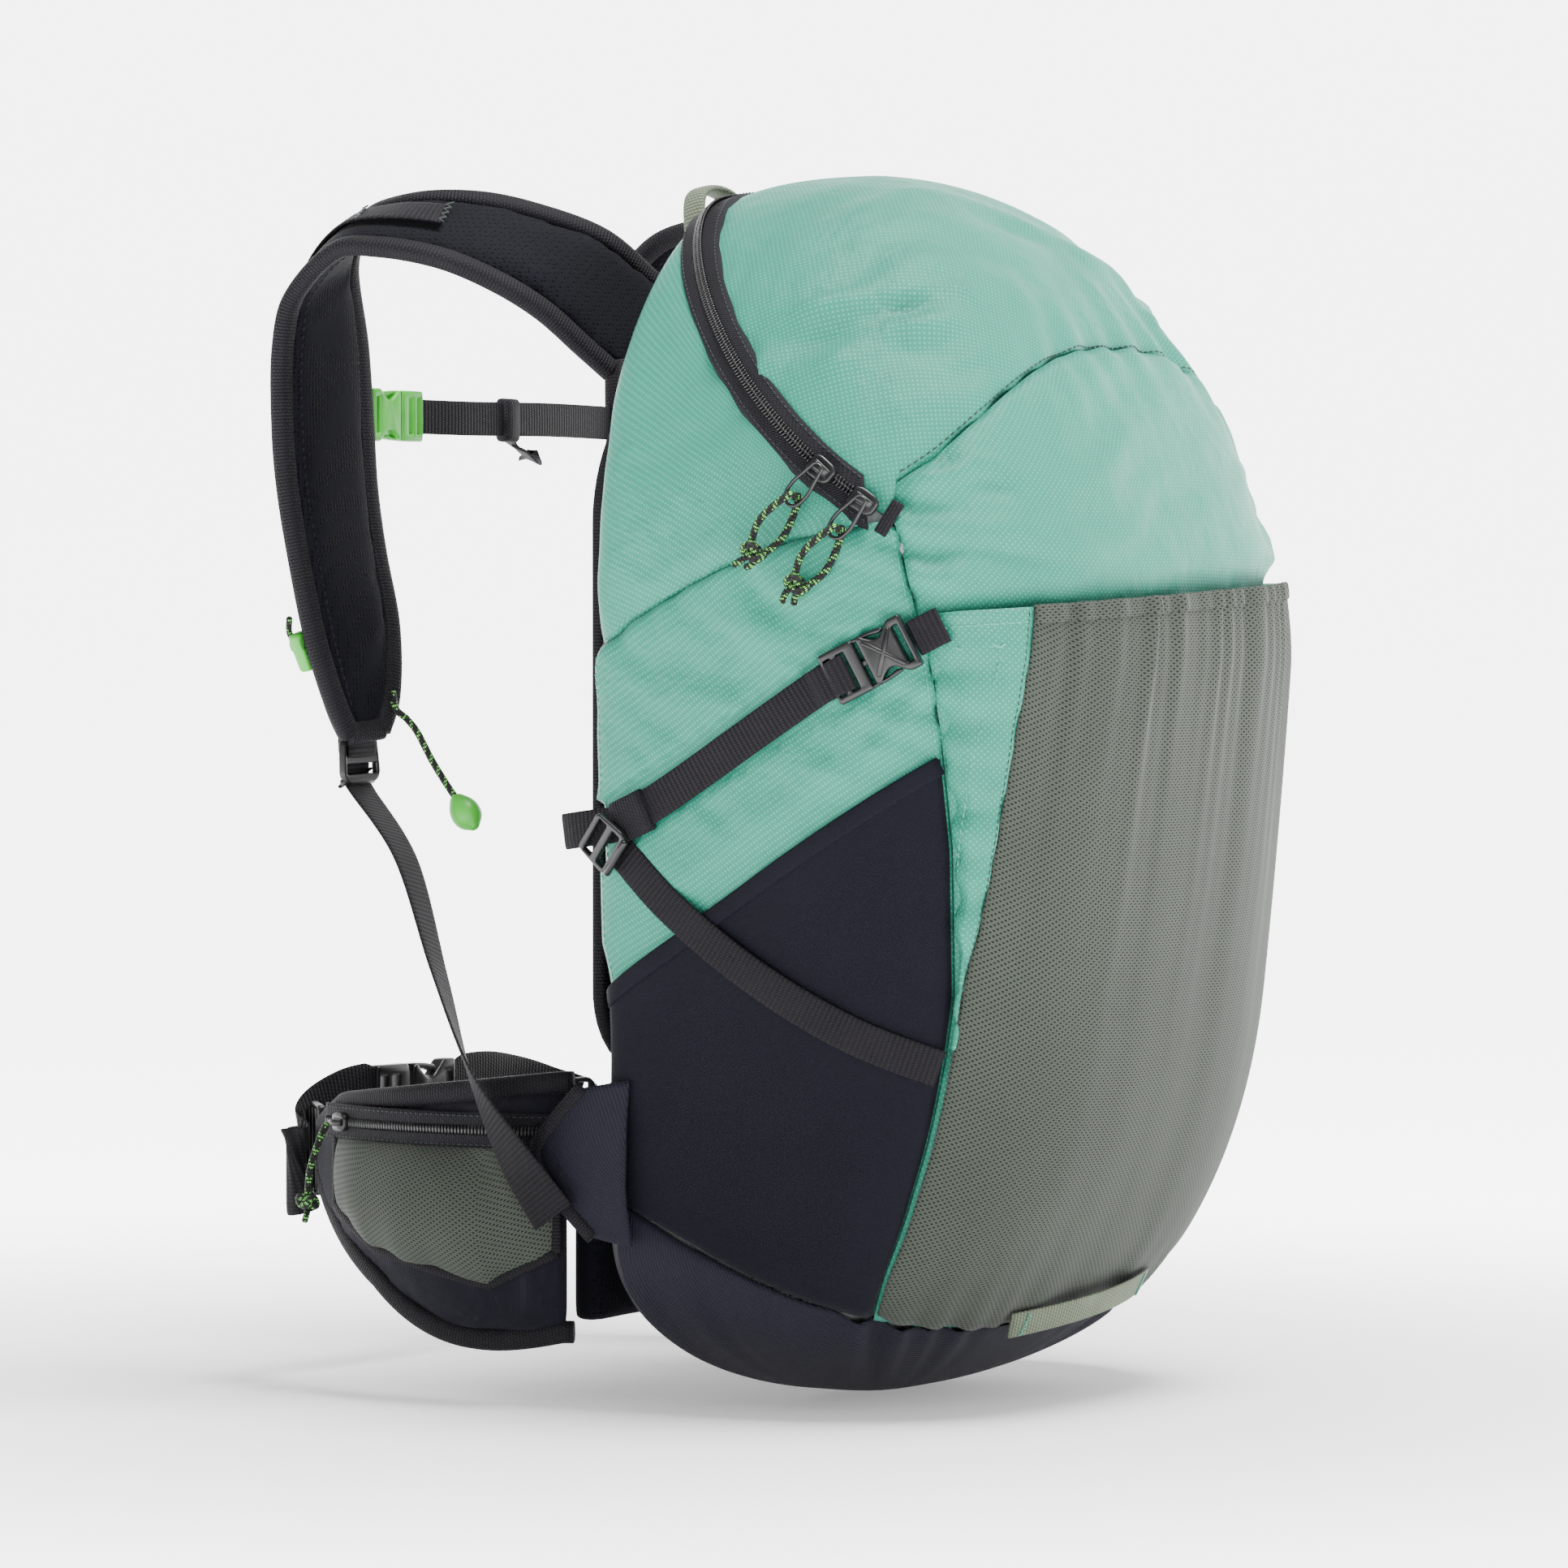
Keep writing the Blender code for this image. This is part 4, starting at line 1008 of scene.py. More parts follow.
def elastic_pull():
    """The elastic cord from the left strap's end, with its moulded pull."""
    route = smooth(ELASTIC_ROUTE, 6)
    cord = tube("strap_cord_elastic", route, CORD / 2, CORD_PAINT, 14)
    aim = (route[-1] - route[-2]).normalized()
    radii = [0.0034, 0.0046, 0.0057, 0.0063, 0.0066, 0.0065, 0.0060, 0.0048, 0.0026]
    line = [route[-1] + aim * (0.0006 + 0.0150 * k / 8) for k in range(9)]
    pull = tube("strap_cord_toggle", line, radii, GREEN, 20)
    modifier(pull, "SUBSURF", levels=1, render_levels=2)
    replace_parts(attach(cord, "strap_left"), "strap_cord")
    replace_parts(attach(pull, "strap_left"), "strap_cord_pull")
    round(lengths(route)[-1], 4)


WAIST_CENTRE, WAIST_RADIUS, WING_THICK = (0.008, 0.062), 0.146, 0.010
WING_FROM, WING_TO = -21, 38
POCKET_FROM, POCKET_SPAN, POCKET_EDGE = -18.5, 45.5, 0.1035
HIP_ZIP_Z, HIP_SLIDER_AT = 0.1097, 24


def belt_point(side, degrees, grow=0.0):
    """A point in plan on a wing's arc, degrees forward of straight out, and its normal."""
    a = math.radians(degrees)
    normal = Vector((side * math.cos(a), math.sin(a), 0))
    centre = Vector((-side * WAIST_CENTRE[0], WAIST_CENTRE[1], 0))
    return centre + normal * (WAIST_RADIUS + grow), normal


def wing_span(degrees):
    """Lowest and highest z of a wing at an angle along its arc."""
    share = max(degrees + 19, 0) / 58
    low = 0.0240 - 0.006 * math.sin(math.pi * min(share * 1.6, 1)) + 0.062 * share**2.6
    high = 0.1330 - 0.016 * share - 0.010 * max(share - 0.8, 0) / 0.2
    return low, high


def hip_pull():
    """The cord tied to the left hip pocket's slider, knotted at its end."""
    place, normal = belt_point(-1, HIP_SLIDER_AT + 1.5, WING_THICK / 2 + 0.0078)
    start = place + Vector((0, 0, HIP_ZIP_Z - 0.0010))
    route = smooth([start, start + normal * 0.0040 - Vector((0, 0, 0.008)),
                    start + normal * 0.0080 - Vector((0, 0, 0.020)),
                    start + normal * 0.0090 - Vector((0, 0, 0.034))], 7)
    cord = tube("hip_cord_pull", route, CORD / 2, CORD_PAINT, 14)
    end, down = route[-1], (route[-1] - route[-2]).normalized()
    turns = tube("hip_knot_turns", trefoil(end - down * 0.002, 0.0042, down), 0.00150,
                 CORD_PAINT, 12)
    tail = tube("hip_knot_tail", [end - down * 0.001, end + down * 0.0025,
                                  end + down * 0.0062 + normal * 0.001], 0.00135, CORD_PAINT, 12)
    knot = join("hip_cord_knot", [turns, tail])
    body = "hip_slider_left"
    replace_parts(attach(cord, body), "hip_cord")
    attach(knot, body)
    round(lengths(route)[-1], 4)


zip_pulls()
elastic_pull()
hip_pull()


# ---- the bag's cloth -------------------------------------------------------------------
def finish_piece(thing, body, slot=None, *nodes):
    """Tells the frame which body carries a piece and the CAD nodes it replaces; slot is not used.
    """
    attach(thing, body)
    if nodes:
        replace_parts(thing, *nodes)
    return thing


ZIP_GAP = 0.0005                         # between the zip's line and the cloth on each side
STITCH_ROWS = {"bag": [], "tape_bag": [], "tape_lid": []}
STRAP_PRESS = 0.013                      # half height of the cloth that a side strap holds down
REAR_EDGE = -20                          # degrees: the mint cloth stops here, near the back


def below_zip(p):
    return min(panel_seam(p), zip_line(-ZIP_GAP)(p))


def side_panels():
    """Each side's two mint cloths, above and below the seam that runs down to the back."""
    for word, side in SIDES.items():
        seed = 10 if side < 0 else 40
        upper = Panel(over_bag(52, 54, between(side, always(REAR_EDGE), always(ZIP_END)),
                               at_level(panel_seam), at_level(zip_line(-ZIP_GAP))))
        upper.seam(upper.low)
        upper.puff(upper.low, 0.0012)
        upper.pucker(upper.low, upper.left, seed + 1, 0.0007, 0.024, 0.010)
        way = (0.10 * side, -0.75, 0.55)
        upper.lift(folds(upper.points, scattered(
            seed + 2, 9, lambda d: side_point(side, d.uniform(-0.10, -0.03),
                                              d.uniform(0.34, 0.42))[0],
            way, 0.2, (0.03, 0.07), (0.006, 0.012), 0.0030)))
        thing = upper.make(f"side_upper_{word}", MINT)
        finish_piece(thing, "bag", "mint_cloth", "bag_shell")

        lower = Panel(over_bag(60, 92, between(side, always(REAR_EDGE), SEAM_AT),
                               at_level(base_seam), at_level(below_zip)))
        for distance in (lower.high, lower.right, lower.low):
            lower.seam(distance)
        smooth_points = lower.points
        lower.puff(lower.right, 0.0026, 0.012)
        lower.puff(lower.high, 0.0016, 0.010)
        lower.pucker(lower.right, lower.low, seed + 3, 0.0034, 0.022, 0.018)
        lower.pucker(lower.high, lower.left, seed + 4, 0.0008, 0.022, 0.012)
        lower.lift(folds(lower.points, scattered(
            seed + 5, 22, lambda d: side_point(side, d.uniform(-0.150, -0.02),
                                               d.uniform(0.235, 0.335))[0],
            (0.05 * side, -0.82, -0.50), 0.16, (0.022, 0.055), (0.0042, 0.0080), 0.0040)))
        lower.lift(folds(lower.points, scattered(
            seed + 6, 14, lambda d: side_point(side, d.uniform(-0.165, -0.11),
                                               d.uniform(0.24, 0.35))[0],
            (0.3 * side, -0.72, 0.35), 0.18, (0.012, 0.030), (0.0035, 0.0060), 0.0038)))
        mouth = MOUTH_Z + MOUTH_SLOPE * smooth_points[..., 1]
        bare = np.clip((smooth_points[..., 2] - mouth + 0.010) / 0.030, 0, 1) ** 2
        relief = ((lower.points - smooth_points) * lower.normals).sum(axis=2) * bare
        off = smooth_points[..., 2] - (0.2370 - 0.570 * (smooth_points[..., 1] + 0.022))
        held = np.where(np.abs(off) < STRAP_PRESS, 0.0016, 0.0060)
        relief = np.minimum(relief, held)
        lower.points = smooth_points + lower.normals * relief[..., None]
        thing = lower.make(f"side_lower_{word}", MINT)
        finish_piece(thing, "bag", "mint_cloth", "bag_shell")
        STITCH_ROWS["bag"] += [panel.row(edge, 1) for panel, edge in (
            (upper, "low"), (lower, "right"), (lower, "left"))]


def front_cloth():
    """The panel above and behind the mesh pocket: one cloth over the bag and the lid, across the
    line where the lid opens.
    """
    panel = Panel(over_bag(104, 124, across_front(SEAM_AT), at_level(base_seam),
                           at_level(front_seam)))
    flat_points = panel.points
    for distance in (panel.left, panel.right, panel.high):
        panel.seam(distance)
    panel.puff(panel.high, 0.0022, 0.012)
    panel.puff(np.minimum(panel.left, panel.right), 0.0024, 0.014)
    panel.pucker(panel.left, panel.low, 71, 0.0038, 0.023, 0.024)
    panel.pucker(panel.right, panel.low, 72, 0.0036, 0.025, 0.024)
    panel.pucker(panel.high, panel.left, 73, 0.0022, 0.024, 0.016)
    for side, seed in ((-1, 74), (1, 75)):
        panel.lift(folds(panel.points, scattered(
            seed, 13, lambda d: skin(turn(side, d.uniform(38, 66)), d.uniform(0.335, 0.385)),
            (0.80 * -side, -0.30, -0.16), 0.13, (0.020, 0.050), (0.0042, 0.0080), 0.0048)))
    panel.lift(folds(panel.points, scattered(
        76, 10, lambda d: skin(d.uniform(-120, -60), d.uniform(0.345, 0.415)),
        (0.95, -0.05, 0.22), 0.22, (0.03, 0.06), (0.006, 0.011), 0.0032)))
    edge = MESH_TOP_Z + MESH_TOP_SLOPE * flat_points[..., 0]
    bare = np.clip((flat_points[..., 2] - edge + 0.003) / 0.014, 0, 1)[..., None]
    panel.points = flat_points + (panel.points - flat_points) * bare**2
    thing = panel.make("front_panel", MINT)
    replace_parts(thing, "bag_shell", "lid_shell")
    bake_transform(thing)


def lid_columns(count):
    """Angles evenly spaced round the bag, from the front middle by the right side."""
    total = ARC_LENGTHS[-1]
    angles = []
    for k in range(count):
        share = 2 * k / count
        if share < 1:
            angles.append(turn(1, forward_of(total * (1 - share))))
        else:
            angles.append(turn(-1, forward_of(total * (share - 1))))
    return angles


def unwrapped(thing):
    """New UVs for a dome that no grid of distances suits: flattened, and scaled to metres."""
    bpy.context.view_layer.update()
    bpy.ops.object.select_all(action="DESELECT")
    bpy.context.view_layer.objects.active = thing
    thing.select_set(True)
    bpy.ops.object.mode_set(mode="EDIT")
    bpy.ops.mesh.select_all(action="SELECT")
    bpy.ops.uv.unwrap(method="CONFORMAL", margin=0.0)
    bpy.ops.object.mode_set(mode="OBJECT")
    thing.select_set(False)
    mesh = thing.data
    uv = np.empty(len(mesh.loops) * 2, np.float32)
    mesh.uv_layers[0].data.foreach_get("uv", uv)
    uv = uv.reshape(-1, 2)
    flat = sum(abs(sum(uv[i][0] * uv[j][1] - uv[j][0] * uv[i][1] for i, j in zip(
        f.loop_indices, [*f.loop_indices[1:], f.loop_indices[0]]))) / 2 for f in mesh.polygons)
    solid = sum(f.area for f in mesh.polygons)
    mesh.uv_layers[0].data.foreach_set("uv", (uv * math.sqrt(solid / max(flat, 1e-9))).reshape(-1))


def lid_cloth():
    """The domed cloth of the lid, from the zip and the front seam to the bag's top."""
    count, rows = 216, 66
    angles = lid_columns(count)
    points = np.empty((rows + 1, count, 3))
    for i, angle in enumerate(angles):
        forward = -angle if angle > -90 and angle < 90 else angle + 180
        forward = forward if forward <= 180 else forward - 360
        seam = forward > SEAM_AT(0.36) + 0.5
        low = meet(always(angle), front_seam if seam else zip_line(0.0005))
        for j in range(rows + 1):
            share = math.sin(math.pi / 2 * j / (rows + 1))
            points[j, i] = skin(angle, low + (HEIGHT - low) * share)
    panel = Panel(points, ring=True)
    run = np.cumsum(np.linalg.norm(np.diff(points[0], axis=0, append=points[:1, 0]), axis=1))
    run = np.broadcast_to(run, points.shape[:2])
    panel.seam(panel.low, 0.0012)
    panel.puff(panel.low, 0.0022, 0.012)
    front = np.array([1.0 if a < -28 and a > -152 else 0.25 for a in angles])
    panel.lift(0.0030 * front * np.exp(-panel.low / 0.020) * ripple(run, 81, 0.026))
    for side, seed in ((-1, 82), (1, 83)):
        panel.lift(folds(panel.points, scattered(
            seed, 12, lambda d: skin(turn(side, d.uniform(5, 52)), d.uniform(0.405, 0.455)),
            (0.55 * -side, -0.55, 0.12), 0.20, (0.025, 0.060), (0.005, 0.009), 0.0052)))
    panel.lift(folds(panel.points, scattered(
        84, 14, lambda d: skin(d.uniform(-170, -10), d.uniform(0.455, 0.495)),
        (0.85, -0.35, 0.0), 0.25, (0.04, 0.08), (0.008, 0.014), 0.0036)))
    thing = panel.make("lid_panel", MINT, wall=0.0007, pole=(0, SPINE_Y, HEIGHT))
    unwrapped(thing)
    finish_piece(thing, "lid", "mint_cloth", "lid_shell")
    keep = [k for k, a in enumerate(angles)
            if -178 + SEAM_AT(0.38) < a < -2 - SEAM_AT(0.38)]
    keep.sort(key=lambda k: angles[k])
    line = [Vector(panel.points[1, k]) for k in keep]
    ups = [Vector(panel.normals[1, k]) for k in keep]
    sewn = stitches("lid_seam_stitches", [(line, ups)], DARK_STITCH, 0.0034, 0.72, 0.00034)
    finish_piece(sewn, "lid", "mint_cloth")


def back_cloth():
    """Dark cloth over the bag's back, behind the padding."""
    start = arc_of(REAR_EDGE)
    columns, rows = 40, 60
    points = np.empty((rows + 1, 2 * columns + 1, 3))
    for i in range(2 * columns + 1):
        c = i / columns - 1
        angle = turn(-1 if c < 0 else 1, forward_of(start * abs(c)))
        low, high = meet(always(angle), base_seam), meet(always(angle), zip_line(-ZIP_GAP))
        for j in range(rows + 1):
            points[j, i] = skin(angle, low + (high - low) * j / rows)
    panel = Panel(points)
    panel.seam(np.minimum(panel.left, panel.right))
    finish_piece(panel.make("back_cloth", TWILL), "bag", "base_twill", "bag_shell")


def lining(name, body, nodes, level, pole_z, rows):
    """The pale cloth inside the bag or the lid, from a level to its closed end at pole_z."""
    count = 96
    points = np.empty((rows + 1, count, 3))
    for i, angle in enumerate(lid_columns(count)):
        rim = meet(always(angle), level, grow=-0.0022)
        for j in range(rows + 1):
            share = j / (rows + 1)
            left = 1 - math.sin(math.pi / 2 * share) if pole_z > MIDDLE else (1 - share) ** 1.5
            z = pole_z + (rim - pole_z) * left
            points[j, i] = skin(angle, min(max(z, 0.003), HEIGHT - 0.003), -0.0022)
    panel = Panel(points, ring=True)
    inside = 0.0030 if pole_z < MIDDLE else HEIGHT - 0.0030
    thing = panel.make(name, LINING, wall=0.0004, pole=(0, SPINE_Y, inside))
    finish_piece(thing, body, "mint_cloth", *nodes)


def base_cloth():
    """The dark cloth that cups the bag's base."""
    count, rows = 168, 40
    points = np.empty((rows + 1, count, 3))
    for i, angle in enumerate(lid_columns(count)):
        top = meet(always(angle), base_seam)
        for j in range(rows + 1):
            z = top * (1 - j / (rows + 1)) ** 1.5
            points[j, i] = skin(angle, max(z, 0.0004), LIFT)
    panel = Panel(points, ring=True)
    run = np.cumsum(np.linalg.norm(np.diff(points[0], axis=0, append=points[:1, 0]), axis=1))
    run = np.broadcast_to(run, points.shape[:2])
    panel.seam(panel.low, 0.0008)
    panel.puff(panel.low, 0.0016, 0.008)
    corner = np.exp(-((np.abs(points[..., 0]) - 0.105) / 0.05) ** 2)
    panel.lift(0.0026 * corner * np.exp(-panel.low / 0.05) * ripple(run, 91, 0.024))
    thing = panel.make("base_cloth", TWILL, wall=0.0009, pole=(0, SPINE_Y, -LIFT))
    unwrapped(thing)
    finish_piece(thing, "bag", "base_twill", "base_panel")


# ---- pockets ---------------------------------------------------------------------------
POCKET_BULGE = 0.0085
POCKET_TOP = 0.3262                      # where the swell of the front pocket is measured to


def pocket_lift(angle, low, z, high):
    """How far the front pocket stands off the bag at an angle and height."""
    u = (angle + 180 - 37.0) / (180 - 2 * 37.0)
    v = min(max((z - low) / (high - low), 0), 1)
    swell = math.sin(math.pi * min(max(u, 0), 1)) ** 0.6
    return LIFT + 0.0004 + POCKET_BULGE * swell * math.sin(math.pi * (0.06 + 0.6 * v))


def front_pocket():
    """The mesh pocket with its hem, its two gussets and their stitches."""
    points = over_bag(120, 104, across_front(MESH_AT), at_level(base_seam, 0.0030),
                      at_level(mesh_top),
                      lambda c, angle, z, low: pocket_lift(angle, low, z, POCKET_TOP))
    panel = Panel(points)
    panel.seam(np.minimum(panel.left, panel.right), 0.0008)
    gather = ripple(panel.left, 101, 0.0155)
    panel.lift(0.0030 * np.exp(-panel.high / 0.050) * gather
               * (1 - np.exp(-np.minimum(panel.left, panel.right) / 0.012)))
    panel.lift(0.0017 * np.exp(-panel.high / 0.14) * ripple(panel.left, 102, 0.040))
    panel.pucker(panel.left, panel.low, 103, 0.0007, 0.03, 0.012)
    panel.pucker(panel.low, panel.left, 104, 0.0015, 0.022, 0.020)
    pocket = panel.make("front_mesh", MESH, wall=0.0008)
    finish_piece(pocket, "bag", "grey_green_mesh", "front_pocket")

    top, ups = panel.row("high")
    hem_line = [p + n * 0.0003 - Vector((0, 0, 0.0030)) for p, n in zip(top, ups)]
    across = [t.cross(n).normalized() for t, n in zip(tangents(hem_line), ups)]
    hem = ribbon("front_mesh_hem", hem_line, across, 0.0075, 0.0022, MESH, 0.6, 12)
    finish_piece(hem, "bag", "grey_green_mesh")

    runs, dark_runs = [], []
    for word, side in SIDES.items():
        gusset = Panel(gusset_points(side))
        gusset.seam(gusset.left if side < 0 else gusset.right, 0.0010)
        gusset.puff(np.minimum(gusset.left, gusset.right), 0.0014, 0.010)
        gusset.pucker(gusset.left if side < 0 else gusset.right, gusset.low,
                      110 if side < 0 else 111, 0.0026, 0.020, 0.022)
        thing = gusset.make(f"pocket_gusset_{word}", MINT, wall=0.0008)
        finish_piece(thing, "bag", "mint_cloth", "front_pocket")
        runs += [across_gusset(gusset, side), gusset.row("high", 2)]
        dark_runs.append(gusset.row("right" if side < 0 else "left", 1))
        bar_tack(gusset, side, word)
    mint = stitches("pocket_stitches", runs, MINT_STITCH, 0.0034, 0.70, 0.00030)
    finish_piece(mint, "bag", "mint_cloth")
    dark = stitches("pocket_edge_stitches", dark_runs, DARK_STITCH, 0.0030, 0.66, 0.00024)
    finish_piece(dark, "bag", "mint_cloth")


def across_gusset(gusset, side):
    """The run of a seam that climbs a gusset from the bag's seam towards the mesh."""
    first, last = len(gusset.points) // 3, len(gusset.points) - 3
    spots = []
    for j in range(first, last + 1, 5):
        share = 0.80 * (j - first) / (last - first)
        spots.append((j, round((share if side < 0 else 1 - share)
                               * (gusset.points.shape[1] - 1))))
    line = smooth([gusset.points[spot] for spot in spots], 4)
    return line, [Vector(gusset.normals[spots[0]])] * len(line)


def gusset_points(side):
    """The cloth between a side's front seam and the mesh, standing off more towards the mesh."""
    def share_of(c):
        return c if side < 0 else 1 - c

    def angle_of(c, z):
        return between(side, SEAM_AT, MESH_AT)(share_of(c), z)

    def grow(c, angle, z, low):
        base = meet(lambda h: angle_of(c, h), base_seam) + 0.0030
        return pocket_lift(angle, base, z, POCKET_TOP) * (0.25 + 0.75 * min(share_of(c) * 3, 1))
    return over_bag(22, 60, angle_of, always(0.150), at_level(mesh_top), grow)


def bar_tack(gusset, side, word):
    """The short thick row of thread that holds a gusset's top corner."""
    row = gusset.points.shape[0] - 6
    ends = (6, 16) if side < 0 else (16, 6)
    a, b = (Vector(gusset.points[row, k]) for k in sorted(ends))
    up = Vector(gusset.normals[row, 11])
    line = [a.lerp(b, k / 10) + up * 0.0006 for k in range(11)]
    side_way = (b - a).normalized().cross(up)
    zig = [p + side_way * (0.0006 if k % 2 else -0.0006) for k, p in enumerate(line)]
    tack = tube(f"bar_tack_{word}", zig, 0.0004, MINT_STITCH, 6)
    finish_piece(tack, "bag", "mint_cloth")


def side_pockets():
    """The black stretch pockets low on the sides, with their hems."""
    for word, side in SIDES.items():
        def angle_of(c, z):
            arc = arc_of(-21.0) * (1 - c) + (arc_of(SEAM_AT(z)) - 0.0016) * c
            return turn(side, forward_of(arc))

        def grow(c, angle, z, low):
            return LIFT * min(0.55 + min(c, 1 - c) * 14, 1) + 0.0008
        points = over_bag(52, 50, angle_of, at_level(base_seam, 0.0026), at_level(pocket_mouth),
                          grow)
        panel = Panel(points)
        panel.seam(np.minimum(panel.left, panel.right), 0.0007)
        panel.pucker(panel.high, panel.left, 121, 0.0005, 0.05, 0.02)
        panel.lift(folds(panel.points, scattered(
            122, 8, lambda d: side_point(side, d.uniform(-0.13, -0.03), d.uniform(0.08, 0.18))[0],
            (0, -0.75, 0.6), 0.2, (0.03, 0.06), (0.008, 0.014), 0.0009)))
        thing = panel.make(f"side_pocket_cloth_{word}", STRETCH, wall=0.0009)
        finish_piece(thing, "bag", "black_stretch", f"side_pocket_{word}")
        top, ups = panel.row("high")
        line = [p - Vector((0, 0, 0.0026)) + n * 0.0002 for p, n in zip(top, ups)]
        across = [t.cross(n).normalized() for t, n in zip(tangents(line), ups)]
        hem = ribbon(f"side_pocket_hem_{word}", line, across, 0.0075, 0.0017, STRETCH, 0.6, 12)
        finish_piece(hem, "bag", "black_stretch")


# ---- the zip ---------------------------------------------------------------------------
def zip_columns(count):
    """Angles round the back from one end of the zip to the other."""
    start = arc_of(ZIP_END)
    angles = []
    for k in range(count + 1):
        share = 2 * k / count - 1
        side = -1 if share < 0 else 1
        angles.append(turn(side, forward_of(start * abs(share))))
    return angles


def zip_parts():
    """The zip's two tapes with their stitches' rows and coils: one on the bag, one on the lid."""
    count = 240
    angles = zip_columns(count)
    for name, body, near, far in (("lower", "bag", -TAPE_WIDTH, -0.0004),
                                  ("upper", "lid", TAPE_WIDTH, 0.0004)):
        rows = 7
        points = np.empty((rows + 1, count + 1, 3))
        for i, angle in enumerate(angles):
            for j in range(rows + 1):
                share = j / rows
                off = near + (far - near) * share
                z = meet(always(angle), zip_line(off))
                rolled = LIFT * math.sin(min(share * 4, 1) * math.pi / 2) + 0.0003
                points[j, i] = skin(angle, z, rolled + 0.0004 * share)
        panel = Panel(points)
        panel.lift(0.0005 * np.exp(-(((panel.low - 0.0016) / 0.0009) ** 2)))
        tape = panel.make(f"zip_tape_cloth_{name}", TAPE, wall=0.0009)
        finish_piece(tape, body, "black_webbing", f"zip_tape_{name}")
        STITCH_ROWS[f"tape_{body}"].append(panel.row("low", 2))
        zip_coil(name, body, angles, 1 if name == "upper" else -1)


def zip_coil(name, body, angles, hand):
    """Half of the zip's coil: above the zip's centre line where hand is 1, below where -1."""
    line, ups = [], []
    for angle in angles:
        z = meet(always(angle), zip_line())
        line.append(skin(angle, z, LIFT + 0.0010))
        ups.append((skin(angle, z, 0.004) - skin(angle, z, 0.0)).normalized())
    marks = lengths(line)
    teeth = []
    at = TOOTH_PITCH / 2
    while at < marks[-1] - 0.001:
        place, k = point_at(line, marks, at)
        way = (line[k + 1] - line[k]).normalized()
        aside = ups[k].cross(way).normalized()
        if (aside.z > 0) != (hand > 0):
            aside = -aside
        teeth.append((place + aside * 0.0009 + way * 0.0004 * hand, ups[k], way))
        at += TOOTH_PITCH
    coil = tooth_row(f"zip_coil_{name}", teeth, -0.0006, 0.00056, 0.00150)
    finish_piece(coil, body, "black_webbing")


def slider_body(name, at, scale=1.0):
    """A coil zip's slider: a waisted body with side flanges and a bridge for its pull."""
    def scaled(points):
        return [(x * scale, y * scale) for x, y in points]
    body = moulded(f"{name}_body", [rounded(scaled(
        [(-0.0052, -0.0024), (-0.0030, -0.0040), (0.0032, -0.0042), (0.0054, -0.0030),
         (0.0054, 0.0030), (0.0032, 0.0042), (-0.0030, 0.0040), (-0.0052, 0.0024)]), 0.0012)],
        0.0034 * scale, 0.0008 * scale, at, PLASTIC)
    deck = moulded(f"{name}_deck", [rounded(scaled(
        [(-0.0040, -0.0016), (0.0038, -0.0020), (0.0038, 0.0020), (-0.0040, 0.0016)]), 0.0008)],
        0.0010 * scale, 0.0004 * scale, at @ Matrix.Translation((0, 0, 0.0019 * scale)), PLASTIC)
    bridge = [(-0.0036, 0.0018), (-0.0034, 0.0034), (-0.0020, 0.0048), (0.0006, 0.0050),
              (0.0026, 0.0042), (0.0034, 0.0020)]
    line = smooth([at @ Vector((x * scale, 0, z * scale)) for x, z in bridge], 4)
    wide = [at.to_3x3() @ Vector((0, 1, 0))] * len(line)
    arch = ribbon(f"{name}_bridge", line, wide, 0.0026 * scale, 0.0012 * scale, PLASTIC, 0.6, 12)
    return join(name, [body, deck, arch])


def sliders():
    """The zip's two sliders, and the tab over its left end."""
    for word, y in SLIDERS.items():
        place, normal = on_zip(y)
        along = (on_zip(y + 0.002)[0] - on_zip(y - 0.002)[0]).normalized()
        at = frame_at(place + normal * 0.0052, along, normal)
        thing = slider_body(f"zip_slider_body_{word}", at, 1.12)
        finish_piece(thing, f"zip_slider_{word}", "black_plastic", f"zip_slider_{word}")
    place, normal = on_zip(-0.1450)
    along = (on_zip(-0.144)[0] - on_zip(-0.146)[0]).normalized()
    across = [normal.cross(along)] * 5
    line = [place + normal * (0.0030 + 0.0004 * math.sin(math.pi * k / 4)) + along * (
        0.0016 - 0.0052 * k / 4) for k in range(5)]
    tab = ribbon("zip_end_tab", line, across, 0.0150, 0.0014, TAPE, 0.5, 12)
    finish_piece(tab, "bag", "black_webbing")


side_panels()
front_cloth()
lid_cloth()
back_cloth()
base_cloth()
lining("bag_lining", "bag", ["bag_shell"], zip_line(-0.0006), 0.003, 40)
lining("lid_lining", "lid", ["lid_shell"], zip_line(0.0006), HEIGHT - 0.003, 26)
front_pocket()
side_pockets()
zip_parts()
sliders()


